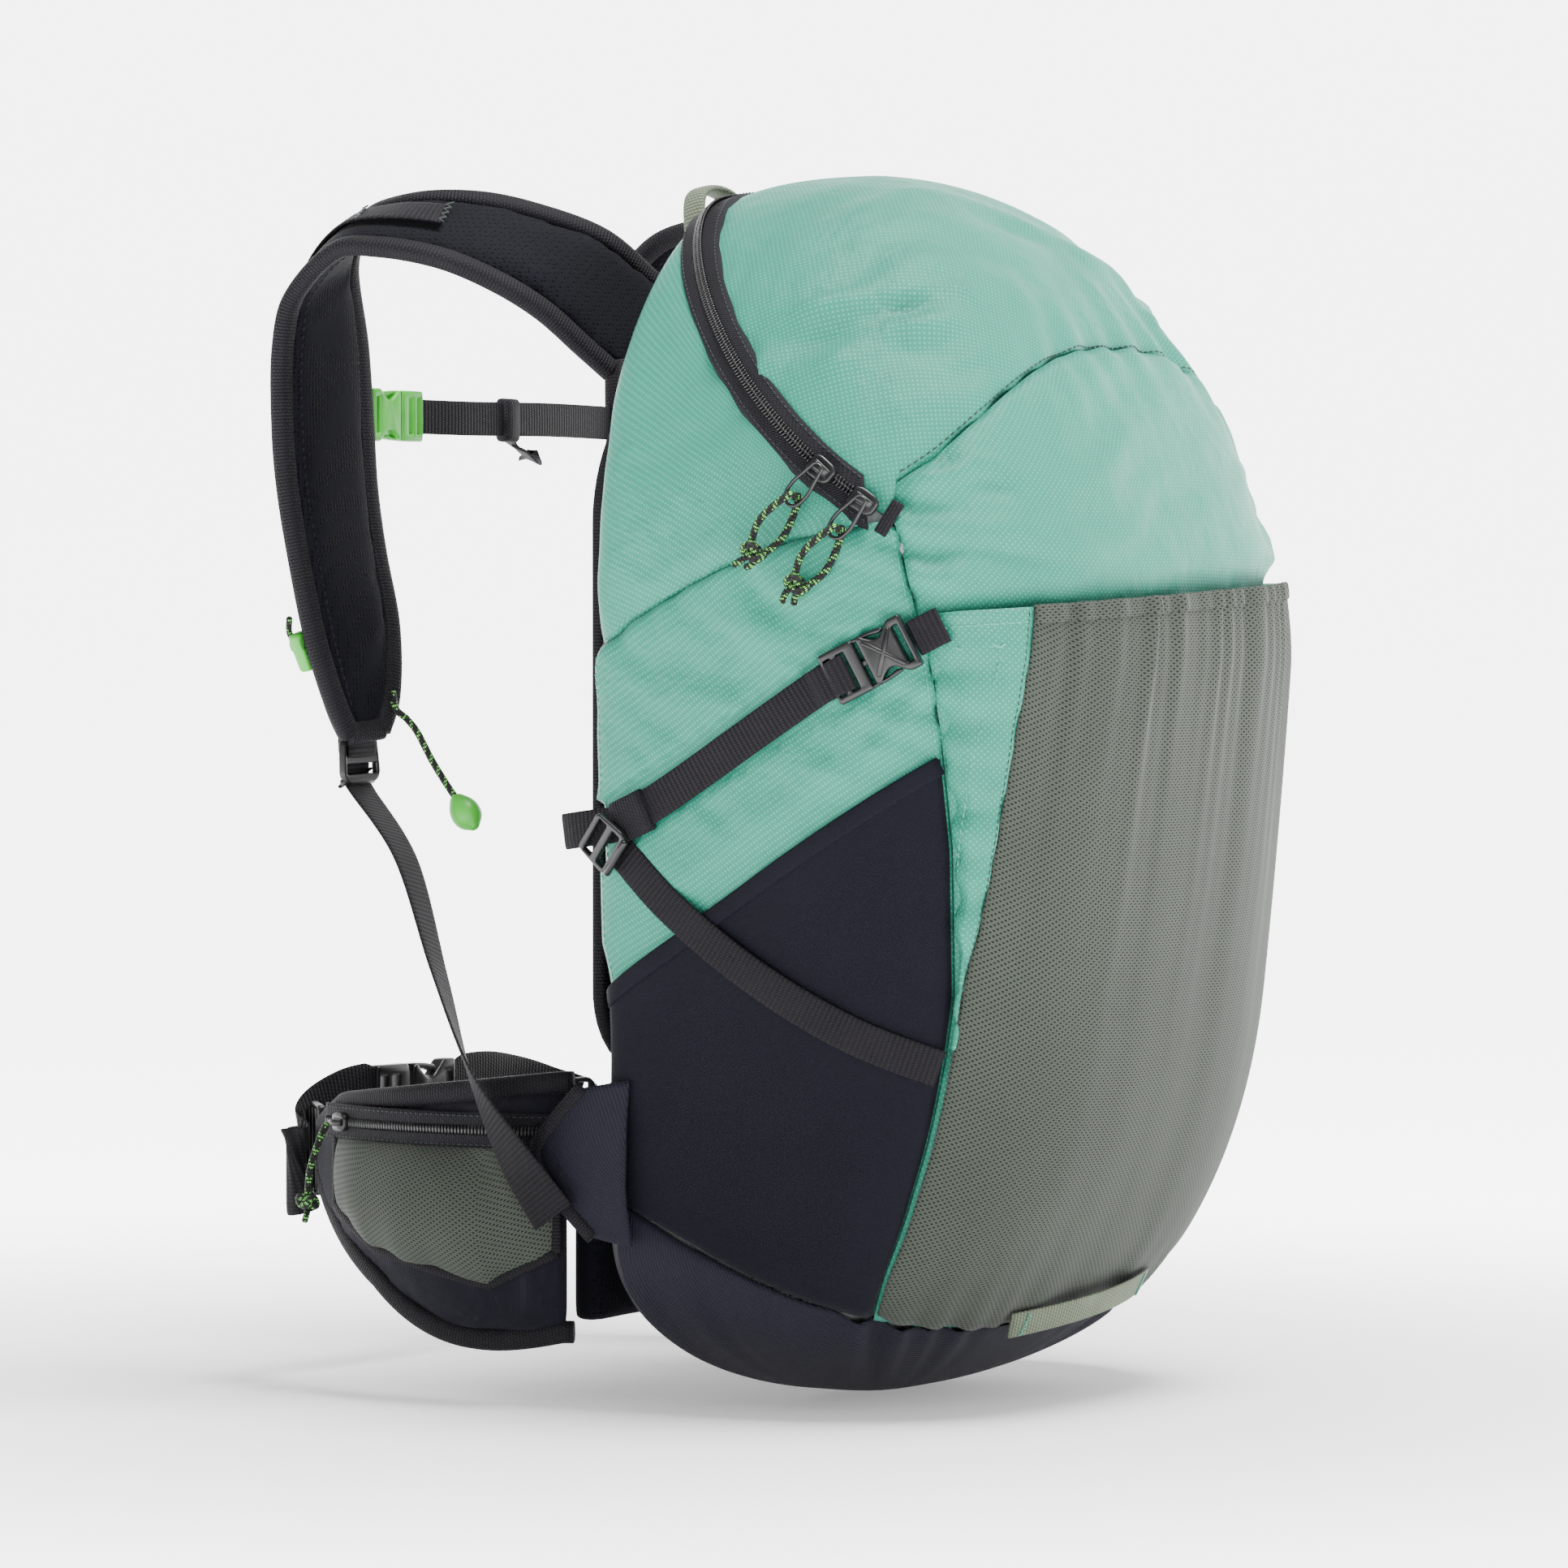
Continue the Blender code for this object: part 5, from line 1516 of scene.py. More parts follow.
# ---- padding ---------------------------------------------------------------------------
def crowned(name, place, normal, across, along, thick, edge, paint, power=2.6):
    """A closed pad over a patch place(u, v), thick in its middle and edge thick at its rim."""
    verts, faces, uvs = [], [], []
    index = {}
    for face in (1, -1):
        for j in range(along + 1):
            for i in range(across + 1):
                u, v = i / across, j / along
                span = (1 - abs(2 * u - 1) ** power) ** 0.5
                ends = (1 - abs(2 * v - 1) ** (power * 5)) ** 0.5
                half = (edge + (thick - edge) * span * ends) / 2
                p = place(u, v) + normal(u, v) * half * face
                index[face, i, j] = len(verts)
                verts.append(p)
                uvs.append((u * 0.06 + 0.1, v * 0.4))
    for face in (1, -1):
        for j in range(along):
            for i in range(across):
                quad = (index[face, i, j], index[face, i + 1, j], index[face, i + 1, j + 1],
                        index[face, i, j + 1])
                faces.append(quad if face > 0 else quad[::-1])
    ring = ([(i, 0) for i in range(across)] + [(across, j) for j in range(along)]
            + [(i, along) for i in range(across, 0, -1)] + [(0, j) for j in range(along, 0, -1)])
    for (i, j), (k, m) in zip(ring, ring[1:] + ring[:1]):
        faces.append((index[1, k, m], index[1, i, j], index[-1, i, j], index[-1, k, m]))
    return faced_out(piece(name, verts, faces, uvs, paint))


def stuffed(thing, voxel=0.0048, pressure=4.0, most=0.0035, frames=20):
    """The pad blown up a little by a cloth simulation, so that its cover is taut and creased."""
    modifier(thing, "REMESH", mode="VOXEL", voxel_size=voxel, use_smooth_shade=True)
    settled(thing)
    rest = np.array([v.co for v in thing.data.vertices])
    cloth = modifier(thing, "CLOTH")
    cloth.settings.quality = 4
    cloth.settings.mass = 0.2
    cloth.settings.use_pressure = True
    cloth.settings.uniform_pressure_force = pressure
    cloth.settings.tension_stiffness = 18
    cloth.settings.compression_stiffness = 18
    cloth.settings.bending_stiffness = 0.6
    cloth.settings.effector_weights.gravity = 0
    cloth.collision_settings.use_collision = False
    cloth.point_cache.frame_start, cloth.point_cache.frame_end = 1, frames
    for step in range(1, frames + 1):
        bpy.context.scene.frame_set(step)
    settled(thing)
    bpy.context.scene.frame_set(1)
    now = np.array([v.co for v in thing.data.vertices])
    shift = now - rest
    size = np.linalg.norm(shift, axis=1, keepdims=True)
    shift *= np.minimum(1, most / np.maximum(size, 1e-9))
    thing.data.vertices.foreach_set("co", (rest + shift).astype(np.float32).reshape(-1))
    modifier(thing, "SUBSURF", levels=1, render_levels=1)
    settled(thing)
    thing.data.shade_smooth()
    if not thing.data.uv_layers:             # a voxel remesh drops them
        thing.data.uv_layers.new(name="UVMap")
    return thing


def mirror_of(thing, name):
    """The same piece on the other side of x = 0."""
    mesh = thing.data.copy()
    mesh.transform(Matrix.Scale(-1, 4, (1, 0, 0)))
    mesh.flip_normals()
    made = bpy.data.objects.new(name, mesh)
    bpy.context.scene.collection.objects.link(made)
    return made


def pressed(thing, how):
    """The vertices moved by how(place) -> Vector, with places in the layout's own frame."""
    for v in thing.data.vertices:
        v.co += how(v.co - SHIFT)


# ---- shoulder straps -------------------------------------------------------------------
STRAP_OUTER = [(-0.100, 0.0230, 0.4350), (-0.116, 0.0330, 0.4500), (-0.132, 0.0450, 0.4620),
               (-0.146, 0.0638, 0.4722), (-0.155, 0.0898, 0.4778), (-0.158, 0.1121, 0.4770),
               (-0.158, 0.1350, 0.4580), (-0.157, 0.1429, 0.4348), (-0.156, 0.1439, 0.4015),
               (-0.155, 0.1420, 0.3748), (-0.153, 0.1374, 0.3447), (-0.149, 0.1315, 0.3111),
               (-0.141, 0.1265, 0.2850), (-0.132, 0.1245, 0.2715)]
STRAP_INNER = [(-0.042, 0.0240, 0.4680), (-0.062, 0.0360, 0.4850), (-0.084, 0.0573, 0.4960),
               (-0.102, 0.0776, 0.5010), (-0.112, 0.1035, 0.5005), (-0.112, 0.1282, 0.4930),
               (-0.105, 0.1430, 0.4720), (-0.097, 0.1430, 0.4368), (-0.095, 0.1415, 0.4030),
               (-0.095, 0.1395, 0.3758), (-0.095, 0.1351, 0.3486), (-0.098, 0.1260, 0.3179),
               (-0.106, 0.1205, 0.2900), (-0.114, 0.1210, 0.2735)]
STRAP_WEB_ROUTE = [(-0.1300, 0.0930, 0.2203), (-0.1380, 0.0710, 0.1739),
                   (-0.1530, 0.0450, 0.1330), (-0.1540, 0.0250, 0.1030),
                   (-0.1500, 0.0060, 0.0760)]


STRIP_LIFT = 0.0060                      # the webbing down a strap's outer face, off its middle
TACK_RADIUS = 0.0004                     # thread of a bar tack


def carried_down(line):
    """The line begun a little before its first point, behind the bag's top."""
    first, second = Vector(line[0]), Vector(line[1])
    return [first + (first - second) * 0.75, *line]


OUTER, INNER = smooth(carried_down(STRAP_OUTER), 8), smooth(carried_down(STRAP_INNER), 8)
STRAP_MIDDLE = [(o + i) / 2 for o, i in zip(OUTER, INNER)]
STRAP_FACE = [(i - o).cross(t).normalized()
              for o, i, t in zip(OUTER, INNER, tangents(STRAP_MIDDLE))]


def on_strap(share, v, lift):
    """A point of the left strap: share 0..1 across, v 0..1 along, lift off its middle plane."""
    at = v * (len(OUTER) - 1)
    k = min(int(at), len(OUTER) - 2)
    part = at - k
    o, i = OUTER[k].lerp(OUTER[k + 1], part), INNER[k].lerp(INNER[k + 1], part)
    n = STRAP_FACE[k].lerp(STRAP_FACE[k + 1], part).normalized()
    return o.lerp(i, share) + n * (lift - 0.0044), n


def strap_rows(side, rows):
    """A line over a strap and the ways across it: each row gives on_strap() two places, one on
    the line and one that the way points to."""
    line = [mirrored(on_strap(*here)[0], side) for here, _ in rows]
    return line, [mirrored(on_strap(*there)[0], side) - p for p, (_, there) in zip(line, rows)]


def shoulder_straps():
    pad = crowned("strap_pad_left", lambda u, v: on_strap(0.06 + 0.88 * u, v, 0)[0],
                  lambda u, v: on_strap(u, v, 0)[1], 14, 110, 0.0090, 0.0040, PADDING)
    stuffed(pad, 0.0046, 4.0, 0.0014)
    twin = mirror_of(pad, "strap_pad_right")
    for thing, word in ((pad, "left"), (twin, "right")):
        finish_piece(thing, f"strap_{word}", "strap_mesh", f"shoulder_strap_{word}")
    edge_at = [0.005 + 0.99 * k / 120 for k in range(121)]
    end_at = [0.03 + 0.94 * k / 12 for k in range(13)]
    strip_at = [0.30 + 0.60 * k / 59 for k in range(60)]
    for word, side in SIDES.items():
        rows = {edge: [((share, v, 0), (0.5, v, 0)) for v in edge_at]
                for edge, share in (("outer", 0.045), ("inner", 0.955))}
        trims = [ribbon(f"strap_binding_{edge}_{word}", *strap_rows(side, row), 0.0098, 0.0078,
                        BINDING, 0.75, 14) for edge, row in rows.items()]
        across_end = [((share, 0.993, 0), (share, 0.93, 0)) for share in end_at]
        trims.append(ribbon(f"strap_binding_end_{word}", *strap_rows(side, across_end), 0.0098,
                            0.0074, BINDING, 0.75, 14))
        finish_piece(join(f"strap_binding_{word}", trims), f"strap_{word}", "strap_mesh")
        strip = strap_rows(side, [((0.52, v, STRIP_LIFT), (0.60, v, STRIP_LIFT - 0.0003))
                                  for v in strip_at])
        daisy = ribbon(f"strap_webbing_strip_{word}", *strip, 0.018, 0.0014, WEB)
        tacks = []
        for v in (0.30, 0.40, 0.50, 0.60, 0.70, 0.80, 0.90):
            row = [mirrored(on_strap(0.36 + 0.32 * k / 8, v + (0.003 if k % 2 else -0.003),
                                     STRIP_LIFT + 0.0010)[0], side) for k in range(9)]
            tacks.append(tube("tack", row, TACK_RADIUS, DARK_STITCH, 6))
        finish_piece(join(f"strap_strip_{word}", [daisy, *tacks]), f"strap_{word}",
                     "black_webbing")
        strap_lining(word, side)
        strap_ladder(word, side)


def strap_lining(word, side):
    """Sewn channels down the strap's inner face."""
    runs = []
    for share in (0.16, 0.84):
        line, ups = [], []
        for k in range(90):
            p, n = on_strap(share, 0.05 + 0.90 * k / 89, -0.0048)
            line.append(mirrored(p, side))
            ups.append(mirrored(-n, side))
        runs.append((line, ups))
    thing = stitches(f"strap_lining_stitches_{word}", runs, BINDING, 0.0036, 0.7, 0.00034)
    finish_piece(thing, f"strap_{word}", "strap_mesh")


def ladder_lock(name, at, web):
    """A ladder-lock: a frame with two cross bars and a turned-up lip."""
    half, slot = web / 2 + 0.0032, web / 2 + 0.0006
    plate = moulded(f"{name}_plate", [
        rounded([(-0.0092, -half + 0.0012), (0.0060, -half), (0.0092, -half + 0.003),
                 (0.0092, half - 0.003), (0.0060, half), (-0.0092, half - 0.0012)], 0.0024),
        box_outline(-0.0066, -0.0022, -slot, slot, 0.0007),
        box_outline(0.0012, 0.0056, -slot, slot, 0.0007)], 0.0032, 0.0008, at, PLASTIC)
    lip = [at @ Vector((0.0086, y * half * 0.8, 0.0014)) for y in (-1, -0.5, 0, 0.5, 1)]
    roll = tube(f"{name}_lip", lip, 0.0016, PLASTIC, 10)
    return join(name, [plate, roll])


def strap_ladder(word, side):
    """The ladder-lock at a shoulder strap's foot, its loop, and the web that runs to the bag."""
    outer = [mirrored(p, side) for p in smooth(STRAP_OUTER, 2)]
    inner = [mirrored(p, side) for p in smooth(STRAP_INNER, 2)]
    foot_mid = (outer[-1] + inner[-1]) / 2
    down = (foot_mid - (outer[-3] + inner[-3]) / 2).normalized()
    face = Vector((0, 1, 0.25))
    lock = foot_mid + down * 0.0110
    at = frame_at(lock, down, face)
    thing = ladder_lock(f"strap_lock_{word}", at, 0.020)
    finish_piece(thing, f"strap_{word}", "black_plastic", f"strap_ladder_{word}")
    across = at.to_3x3() @ Vector((0, 1, 0))
    up = at.to_3x3() @ Vector((0, 0, 1))
    line = smooth([foot_mid - down * 0.010, foot_mid - down * 0.002 - up * 0.001,
                   lock - down * 0.0044 - up * 0.0022, lock - down * 0.0012 - up * 0.0004,
                   lock - down * 0.0030 + up * 0.0030, foot_mid + up * 0.0030], 4)
    tab = ribbon(f"strap_lock_loop_{word}", line, [across] * len(line), 0.0195, 0.0013, WEB)
    finish_piece(tab, f"strap_{word}", "black_webbing")
    route = [lock + down * 0.0005 + up * 0.0022, lock + down * 0.0060 + up * 0.0024,
             lock + down * 0.0120]
    route += [mirrored(p, side) for p in STRAP_WEB_ROUTE]
    line = smooth(route, 10)
    first, last = Vector((1, 0, 0)), Vector((0.10 * side, 0.80, -0.55)).normalized()
    turn_by = [first.lerp(last, (k / (len(line) - 1)) ** 2.6).normalized()
               for k in range(len(line))]
    web = ribbon(f"strap_web_cloth_{word}", line, turn_by, 0.020, 0.0015, WEB)
    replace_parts(web, f"strap_web_{word}")
    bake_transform(web)


def cord_root():
    """Where the elastic leaves the left strap's bound end."""
    inside = on_strap(0.90, 0.930, -0.004)[0]
    line = smooth([inside, on_strap(0.97, 0.955, -0.005)[0], Vector(ELASTIC_ROUTE[0])], 6)
    root = tube("strap_cord_root", line, CORD / 2, CORD_PAINT, 14)
    finish_piece(root, "strap_left", "cord")


def cord_lock():
    """The moulded lock that holds the left strap's elastic, on the strap's outer edge."""
    p, n = on_strap(0.02, 0.865, 0.0070)
    ahead = (on_strap(0.02, 0.90, 0.0070)[0] - p).normalized()
    at = frame_at(p, ahead, n)
    body = moulded("cord_lock_body", [rounded([(-0.0085, -0.0045), (0.0085, -0.0035),
                                               (0.0085, 0.0035), (-0.0085, 0.0045)], 0.0025),
                                      box_outline(-0.0050, -0.0018, -0.0022, 0.0022)],
                   0.0060, 0.0016, at, GREEN)
    finish_piece(body, "strap_left", "green_plastic")
    loop = smooth([p + n * 0.0020 - ahead * 0.002, p + n * 0.0045 - ahead * 0.009,
                   p + n * 0.0020 - ahead * 0.015], 6)
    stub = tube("cord_lock_cord", loop, 0.00135, CORD_PAINT, 12)
    finish_piece(stub, "strap_left", "cord")


# ---- side-release buckles and the straps they hold -------------------------------------
NARROW = 0.0148                          # width of the side and sternum webs


def buckle(prefix, socket_body, plug_body, nodes, place, along, out, web, paint, slot):
    """Both halves of a side-release buckle, as moulded parts with windows, prongs and slots."""
    s = web / 0.015
    at = frame_at(place, along, out)

    def sized(points):
        return [(x * s, y * s) for x, y in points]
    half = 0.01125
    waist = [(0.0005, -0.0098), (0.0022, -0.0106), (0.0046, -0.0082), (0.0072, -0.0064),
             (0.0100, -0.0066), (0.0128, -0.0090), (0.0150, -half), (0.0206, -half)]
    outline = rounded(sized(waist + [(x, -y) for x, y in reversed(waist)]), 0.0012 * s, 3)

    def opening(x0, x1, half_wide=0.0078):
        return box_outline(x0 * s, x1 * s, -half_wide * s, half_wide * s, 0.0006)
    shell = moulded(f"{prefix}_socket_shell", [outline, opening(0.0158, 0.0184)], 0.0066, 0.0010,
                    at, paint)
    cross = [tube("rib", [at @ Vector((x * s, y * flip * s, z)) for x, y, z in
                          ((0.0028, -0.0072, 0.0030), (0.0085, 0, 0.0034),
                           (0.0142, 0.0076, 0.0030))], 0.0011 * s, paint, 8) for flip in (1, -1)]
    socket = join(f"{prefix}_socket_part", [shell, *cross])
    finish_piece(socket, socket_body, slot, nodes[0])
    prong = [(-0.0030, -0.0107), (0.0030, -0.0107), (0.0075, -0.0104), (0.0118, -0.0098),
             (0.0122, -0.0086), (0.0100, -0.0080), (0.0060, -0.0090), (-0.0010, -0.0090)]
    body = [(-0.0166, -half + 0.0004), (-0.0020, -half + 0.0004), (-0.0012, -0.0088),
            (-0.0012, 0.0088), (-0.0020, half - 0.0004), (-0.0166, half - 0.0004)]
    parts = [moulded(f"{prefix}_plug_frame", [rounded(sized(body), 0.0014 * s, 3),
                                              opening(-0.0152, -0.0122),
                                              opening(-0.0094, -0.0062)],
                     0.0056, 0.0010, at, paint)]
    for flip in (1, -1):
        shape = [(x, y * flip) for x, y in prong]
        parts.append(moulded(f"{prefix}_prong_{flip}", [rounded(sized(shape), 0.0008 * s, 3)],
                             0.0040, 0.0008, at, paint))
    parts.append(moulded(f"{prefix}_guide", [opening(-0.0020, 0.0108, 0.0012)], 0.0026, 0.0006,
                         at, paint))
    plug = join(f"{prefix}_plug_part", parts)
    finish_piece(plug, plug_body, slot, nodes[1])
    return at


def web_wrap(name, body, at, x, web, long):
    """The webbing turned round a buckle's bar at x and sewn back on itself."""
    line = smooth([at @ Vector((x + along, 0, up)) for along, up in
                   ((long, 0.0006), (0.0060, 0.00204), (0.0010, 0.0034), (-0.0022, 0.0017),
                    (-0.0018, -0.00204), (0.0040, -0.00187))], 4)
    across = at.to_3x3() @ Vector((0, 1, 0))
    thing = ribbon(name, line, [across] * len(line), web * 0.985, 0.0014, WEB)
    return finish_piece(thing, body, "black_webbing")


def compression_straps():
    """Each side's two webs, with the buckle on the upper one and the lock where they meet."""
    for word, side in SIDES.items():
        socket, normal = side_point(side, -0.1385, 0.3035, 0.0052)
        ahead, _ = side_point(side, -0.1500, 0.3100, 0.0052)
        along = (ahead - socket).normalized()
        plug_body = f"compression_plug_{word}"
        at = buckle(f"compression_{word}", "bag", plug_body,
                    (f"compression_{word}_socket", f"compression_{word}_plug"), socket, along,
                    normal, 0.015, PLASTIC, "black_plastic")
        line, across = over_side(side, [(-0.1560, 0.3128), (-0.1610, 0.3160), (-0.1650, 0.3185)],
                                 0.0050, 6)
        line[0] = line[0] + normal * 0.0012
        stub = ribbon(f"compression_tab_{word}", line, across, NARROW, 0.0022, WEB)
        finish_piece(stub, "bag", "black_webbing", f"compression_stub_{word}")
        line, across = over_side(side, [(-0.1265, 0.2975), (-0.1225, 0.2955), (-0.090, 0.2745),
                                        (-0.055, 0.2530), (-0.032, 0.2405), (-0.022, 0.2370)],
                                 0.0046, 8)
        tip = line[-1] + Vector((-side * 0.003, 0.024, -0.003))
        line += [line[-1].lerp(tip, s) + Vector((side * 0.0015, 0, 0)) * math.sin(math.pi * s)
                 for s in (0.25, 0.5, 0.75, 1.0)]
        across += [across[-1]] * 4
        web = ribbon(f"compression_web_cloth_{word}", line, across, NARROW, 0.0016, WEB)
        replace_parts(web, f"compression_web_{word}")
        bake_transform(web)
        web_wrap(f"compression_fold_{word}", plug_body, at, -0.0137, NARROW, -0.011)
        line, across = over_side(side, [(-0.0270, 0.2262), (-0.050, 0.2040), (-0.085, 0.1790),
                                        (-0.125, 0.1560), (-0.1580, 0.1412)], 0.0046, 8)
        low = ribbon(f"lower_web_cloth_{word}", line, across, NARROW, 0.0016, WEB)
        finish_piece(low, "bag", "black_webbing", f"lower_web_{word}")
        place, normal = side_point(side, -0.0225, 0.2300, 0.0088)
        down, _ = side_point(side, -0.0380, 0.2150, 0.0075)
        lock_at = frame_at(place, down - place, normal)
        lock = ladder_lock(f"compression_lock_{word}", lock_at, 0.0150)
        finish_piece(lock, "bag", "black_plastic", f"web_lock_{word}")
        keeper(word, side)


def keeper(word, side):
    """The elastic keeper round the compression strap's loose end."""
    line, across = over_side(side, [(-0.0400, 0.2440), (-0.0330, 0.2410), (-0.0260, 0.2380)],
                             0.0048, 3)
    thing = ribbon(f"compression_keeper_{word}", line, across, 0.0178, 0.0052, BINDING, 0.45, 16)
    finish_piece(thing, "bag", "black_webbing")


STERNUM_Y, STERNUM_Z = 0.1385, 0.4080


def sternum_strap():
    """The chest strap between the shoulder straps, with its buckle and keeper."""
    out, along = Vector((0, 1, 0)), Vector((-1, 0, 0))
    place = Vector((-0.0720, STERNUM_Y, STERNUM_Z))
    buckle("sternum", "strap_left", "sternum_plug", ("sternum_socket", "sternum_plug"), place,
           along, out, 0.015, GREEN, "green_plastic")
    line = smooth([Vector((-0.0560, STERNUM_Y, STERNUM_Z)),
                   Vector((-0.0500, STERNUM_Y - 0.0012, STERNUM_Z)),
                   Vector((-0.0200, STERNUM_Y - 0.0050, STERNUM_Z)),
                   Vector((0.0400, STERNUM_Y - 0.0050, STERNUM_Z + 0.001)),
                   Vector((0.0980, STERNUM_Y, STERNUM_Z + 0.001))], 10)
    web = ribbon("sternum_web_cloth", line, [UP] * len(line), NARROW, 0.0016, WEB)
    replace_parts(web, "sternum_web")
    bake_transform(web)
    tab = [place + along * 0.016, place + along * 0.0215, place + along * 0.030]
    stub = ribbon("sternum_tab", smooth(tab, 4), [UP] * 9, NARROW, 0.0018, WEB)
    finish_piece(stub, "strap_left", "black_webbing")
    at = Vector((0.0060, STERNUM_Y - 0.0050, STERNUM_Z))
    band_line = [at + Vector((x, 0, 0)) for x in (-0.0050, 0, 0.0050)]
    band = ribbon("sternum_keeper", band_line, [UP] * 3, 0.0190, 0.0064, BINDING,
                  0.4, 16)
    loop = smooth([at + Vector((0.004, 0.003, -0.004)), at + Vector((0.010, 0.006, -0.009)),
                   at + Vector((0.020, 0.004, -0.014)), at + Vector((0.014, -0.003, -0.017)),
                   at + Vector((0.004, -0.003, -0.012))], 5)
    flap = ribbon("sternum_keeper_loop", loop, [Vector((0.1, 0.9, 0.35))] * len(loop), 0.010,
                  0.0012, BINDING)
    finish_piece(join("sternum_keeper_set", [band, flap]), "strap_right", "black_webbing")


# ---- hip belt --------------------------------------------------------------------------
def hip_wings():
    """The hip belt's two padded wings, and what is sewn to each."""
    def place(u, v):
        degrees = WING_FROM + (WING_TO - WING_FROM) * v
        low, high = wing_span(degrees)
        spot, _ = belt_point(-1, degrees)
        return spot + Vector((0, 0, low + (high - low) * (0.02 + 0.96 * u)))

    def normal(u, v):
        return belt_point(-1, WING_FROM + (WING_TO - WING_FROM) * v)[1]
    pad = crowned("wing_pad_left", place, normal, 18, 36, 0.0086, 0.0040, TWILL)
    stuffed(pad, 0.0052, 4.0, 0.0012)
    twin = mirror_of(pad, "wing_pad_right")
    for thing, word in ((pad, "left"), (twin, "right")):
        finish_piece(thing, f"wing_{word}", "strap_mesh", f"hip_wing_{word}")
    for word, side in SIDES.items():
        wing_trim(word, side)
        hip_pocket(word, side)
        stabiliser(word, side)


def wing_trim(word, side):
    """Rolled binding along a wing's edges and round its tip."""
    trims = []
    reached = [WING_FROM + 0.3 + (WING_TO - WING_FROM - 0.6) * k / 60 for k in range(61)]
    for edge, inset in ((0, 0.003), (1, -0.003)):
        line = [belt_point(side, degrees)[0] + UP * (wing_span(degrees)[edge] + inset)
                for degrees in reached]
        trims.append(ribbon("trim", line, [UP] * 61, 0.0094, 0.0076, BINDING, 0.75, 14))
    low, high = wing_span(WING_TO)
    spot, _ = belt_point(side, WING_TO - 0.6)
    line = [spot + UP * (low + 0.004 + (high - low - 0.008) * k / 12) for k in range(13)]
    tip_way = (belt_point(side, WING_TO)[0] - belt_point(side, WING_TO - 2)[0]).normalized()
    trims.append(ribbon("trim_end", line, [tip_way] * 13, 0.0086, 0.0074, BINDING, 0.75, 14))
    finish_piece(join(f"wing_binding_{word}", trims), f"wing_{word}", "strap_mesh")


POCKET_FOOT = table([(0.0, 0.060), (0.25, 0.046), (0.75, 0.058), (1.0, 0.074)])


def hip_surface(side, u, v, extra=0.0):
    """A point of a hip pocket's swollen cloth, u 0..1 along the wing and v 0..1 up, and normal."""
    degrees = POCKET_FROM + POCKET_SPAN * u
    low = max(wing_span(degrees)[0] + 0.014, POCKET_FOOT(u))
    z = low + (POCKET_EDGE - low) * v
    swell = 0.0135 * (max(math.sin(math.pi * u), 0) * max(math.sin(math.pi * v), 0)) ** 0.6
    place, normal = belt_point(side, degrees, WING_THICK / 2 + 0.0006 + swell + extra)
    return place + Vector((0, 0, z)), normal


def hip_pocket(word, side):
    """A wing's mesh pocket, its bindings, its zip and slider."""
    columns, rows = 56, 40
    points = np.empty((rows + 1, columns + 1, 3))
    for j in range(rows + 1):
        for i in range(columns + 1):
            points[j, i] = hip_surface(side, i / columns, j / rows)[0]
    panel = Panel(points)
    panel.lift(0.0007 * ripple(panel.left, 131, 0.034) * np.exp(-panel.low / 0.02))
    panel.pucker(panel.low, panel.left, 132, 0.0003, 0.014, 0.010)
    cloth = panel.make(f"hip_pocket_cloth_{word}", MESH, wall=0.0008)
    finish_piece(cloth, f"wing_{word}", "grey_green_mesh", f"hip_pocket_{word}")
    trims = []
    for fixed, along_u in ((0.0, True), (1.0, False), (0.0, False)):
        line, ups = [], []
        for k in range(41):
            u, v = (k / 40, fixed) if along_u else (fixed, k / 40)
            p, n = hip_surface(side, u, v, 0.0004)
            line.append(p)
            ups.append(n)
        across = [t.cross(n) for t, n in zip(tangents(line), ups)]
        trims.append(ribbon("trim", line, across, 0.0042, 0.0024, BINDING, 0.75, 12))
    hem = join(f"hip_pocket_hem_{word}", trims)
    finish_piece(hem, f"wing_{word}", "grey_green_mesh")
    reached = [POCKET_FROM - 1.5 + (POCKET_SPAN + 4.5) * k / 60 for k in range(61)]
    outward = [belt_point(side, degrees)[1] for degrees in reached]
    line = [belt_point(side, degrees, WING_THICK / 2 + 0.0012)[0] + Vector((0, 0, HIP_ZIP_Z))
            for degrees in reached]
    strip = ribbon(f"hip_zip_tape_{word}", line, [UP] * len(line), 0.0150, 0.0016, TAPE, 0.4, 12)
    teeth = []
    marks = lengths(line)
    for n in range(int(marks[-1] / TOOTH_PITCH) - 2):
        at = (n + 1.5) * TOOTH_PITCH
        centre, k = point_at(line, marks, at)
        degrees = POCKET_FROM - 1.5 + (POCKET_SPAN + 4.5) * at / marks[-1]
        teeth.append((centre, belt_point(side, degrees)[1], (line[k + 1] - line[k]).normalized()))
    coil = tooth_row(f"hip_zip_coil_{word}", teeth, 0.0004, 0.00058, 0.0021)
    rows = [([p + n * 0.0009 + UP * off for p, n in zip(line, outward)], outward)
            for off in (-0.0060, 0.0060)]
    sewn = stitches(f"hip_zip_stitches_{word}", rows, DARK_STITCH, 0.0028, 0.66, 0.00022)
    finish_piece(join(f"hip_zip_{word}", [strip, coil, sewn]), f"wing_{word}", "black_webbing")
    place, normal = belt_point(side, HIP_SLIDER_AT, WING_THICK / 2 + 0.0030)
    place.z = HIP_ZIP_Z
    at = frame_at(place, normal.cross(UP), normal)
    slider = slider_body(f"hip_slider_body_{word}", at, 0.95)
    finish_piece(slider, f"hip_slider_{word}", "black_plastic", f"hip_slider_{word}")


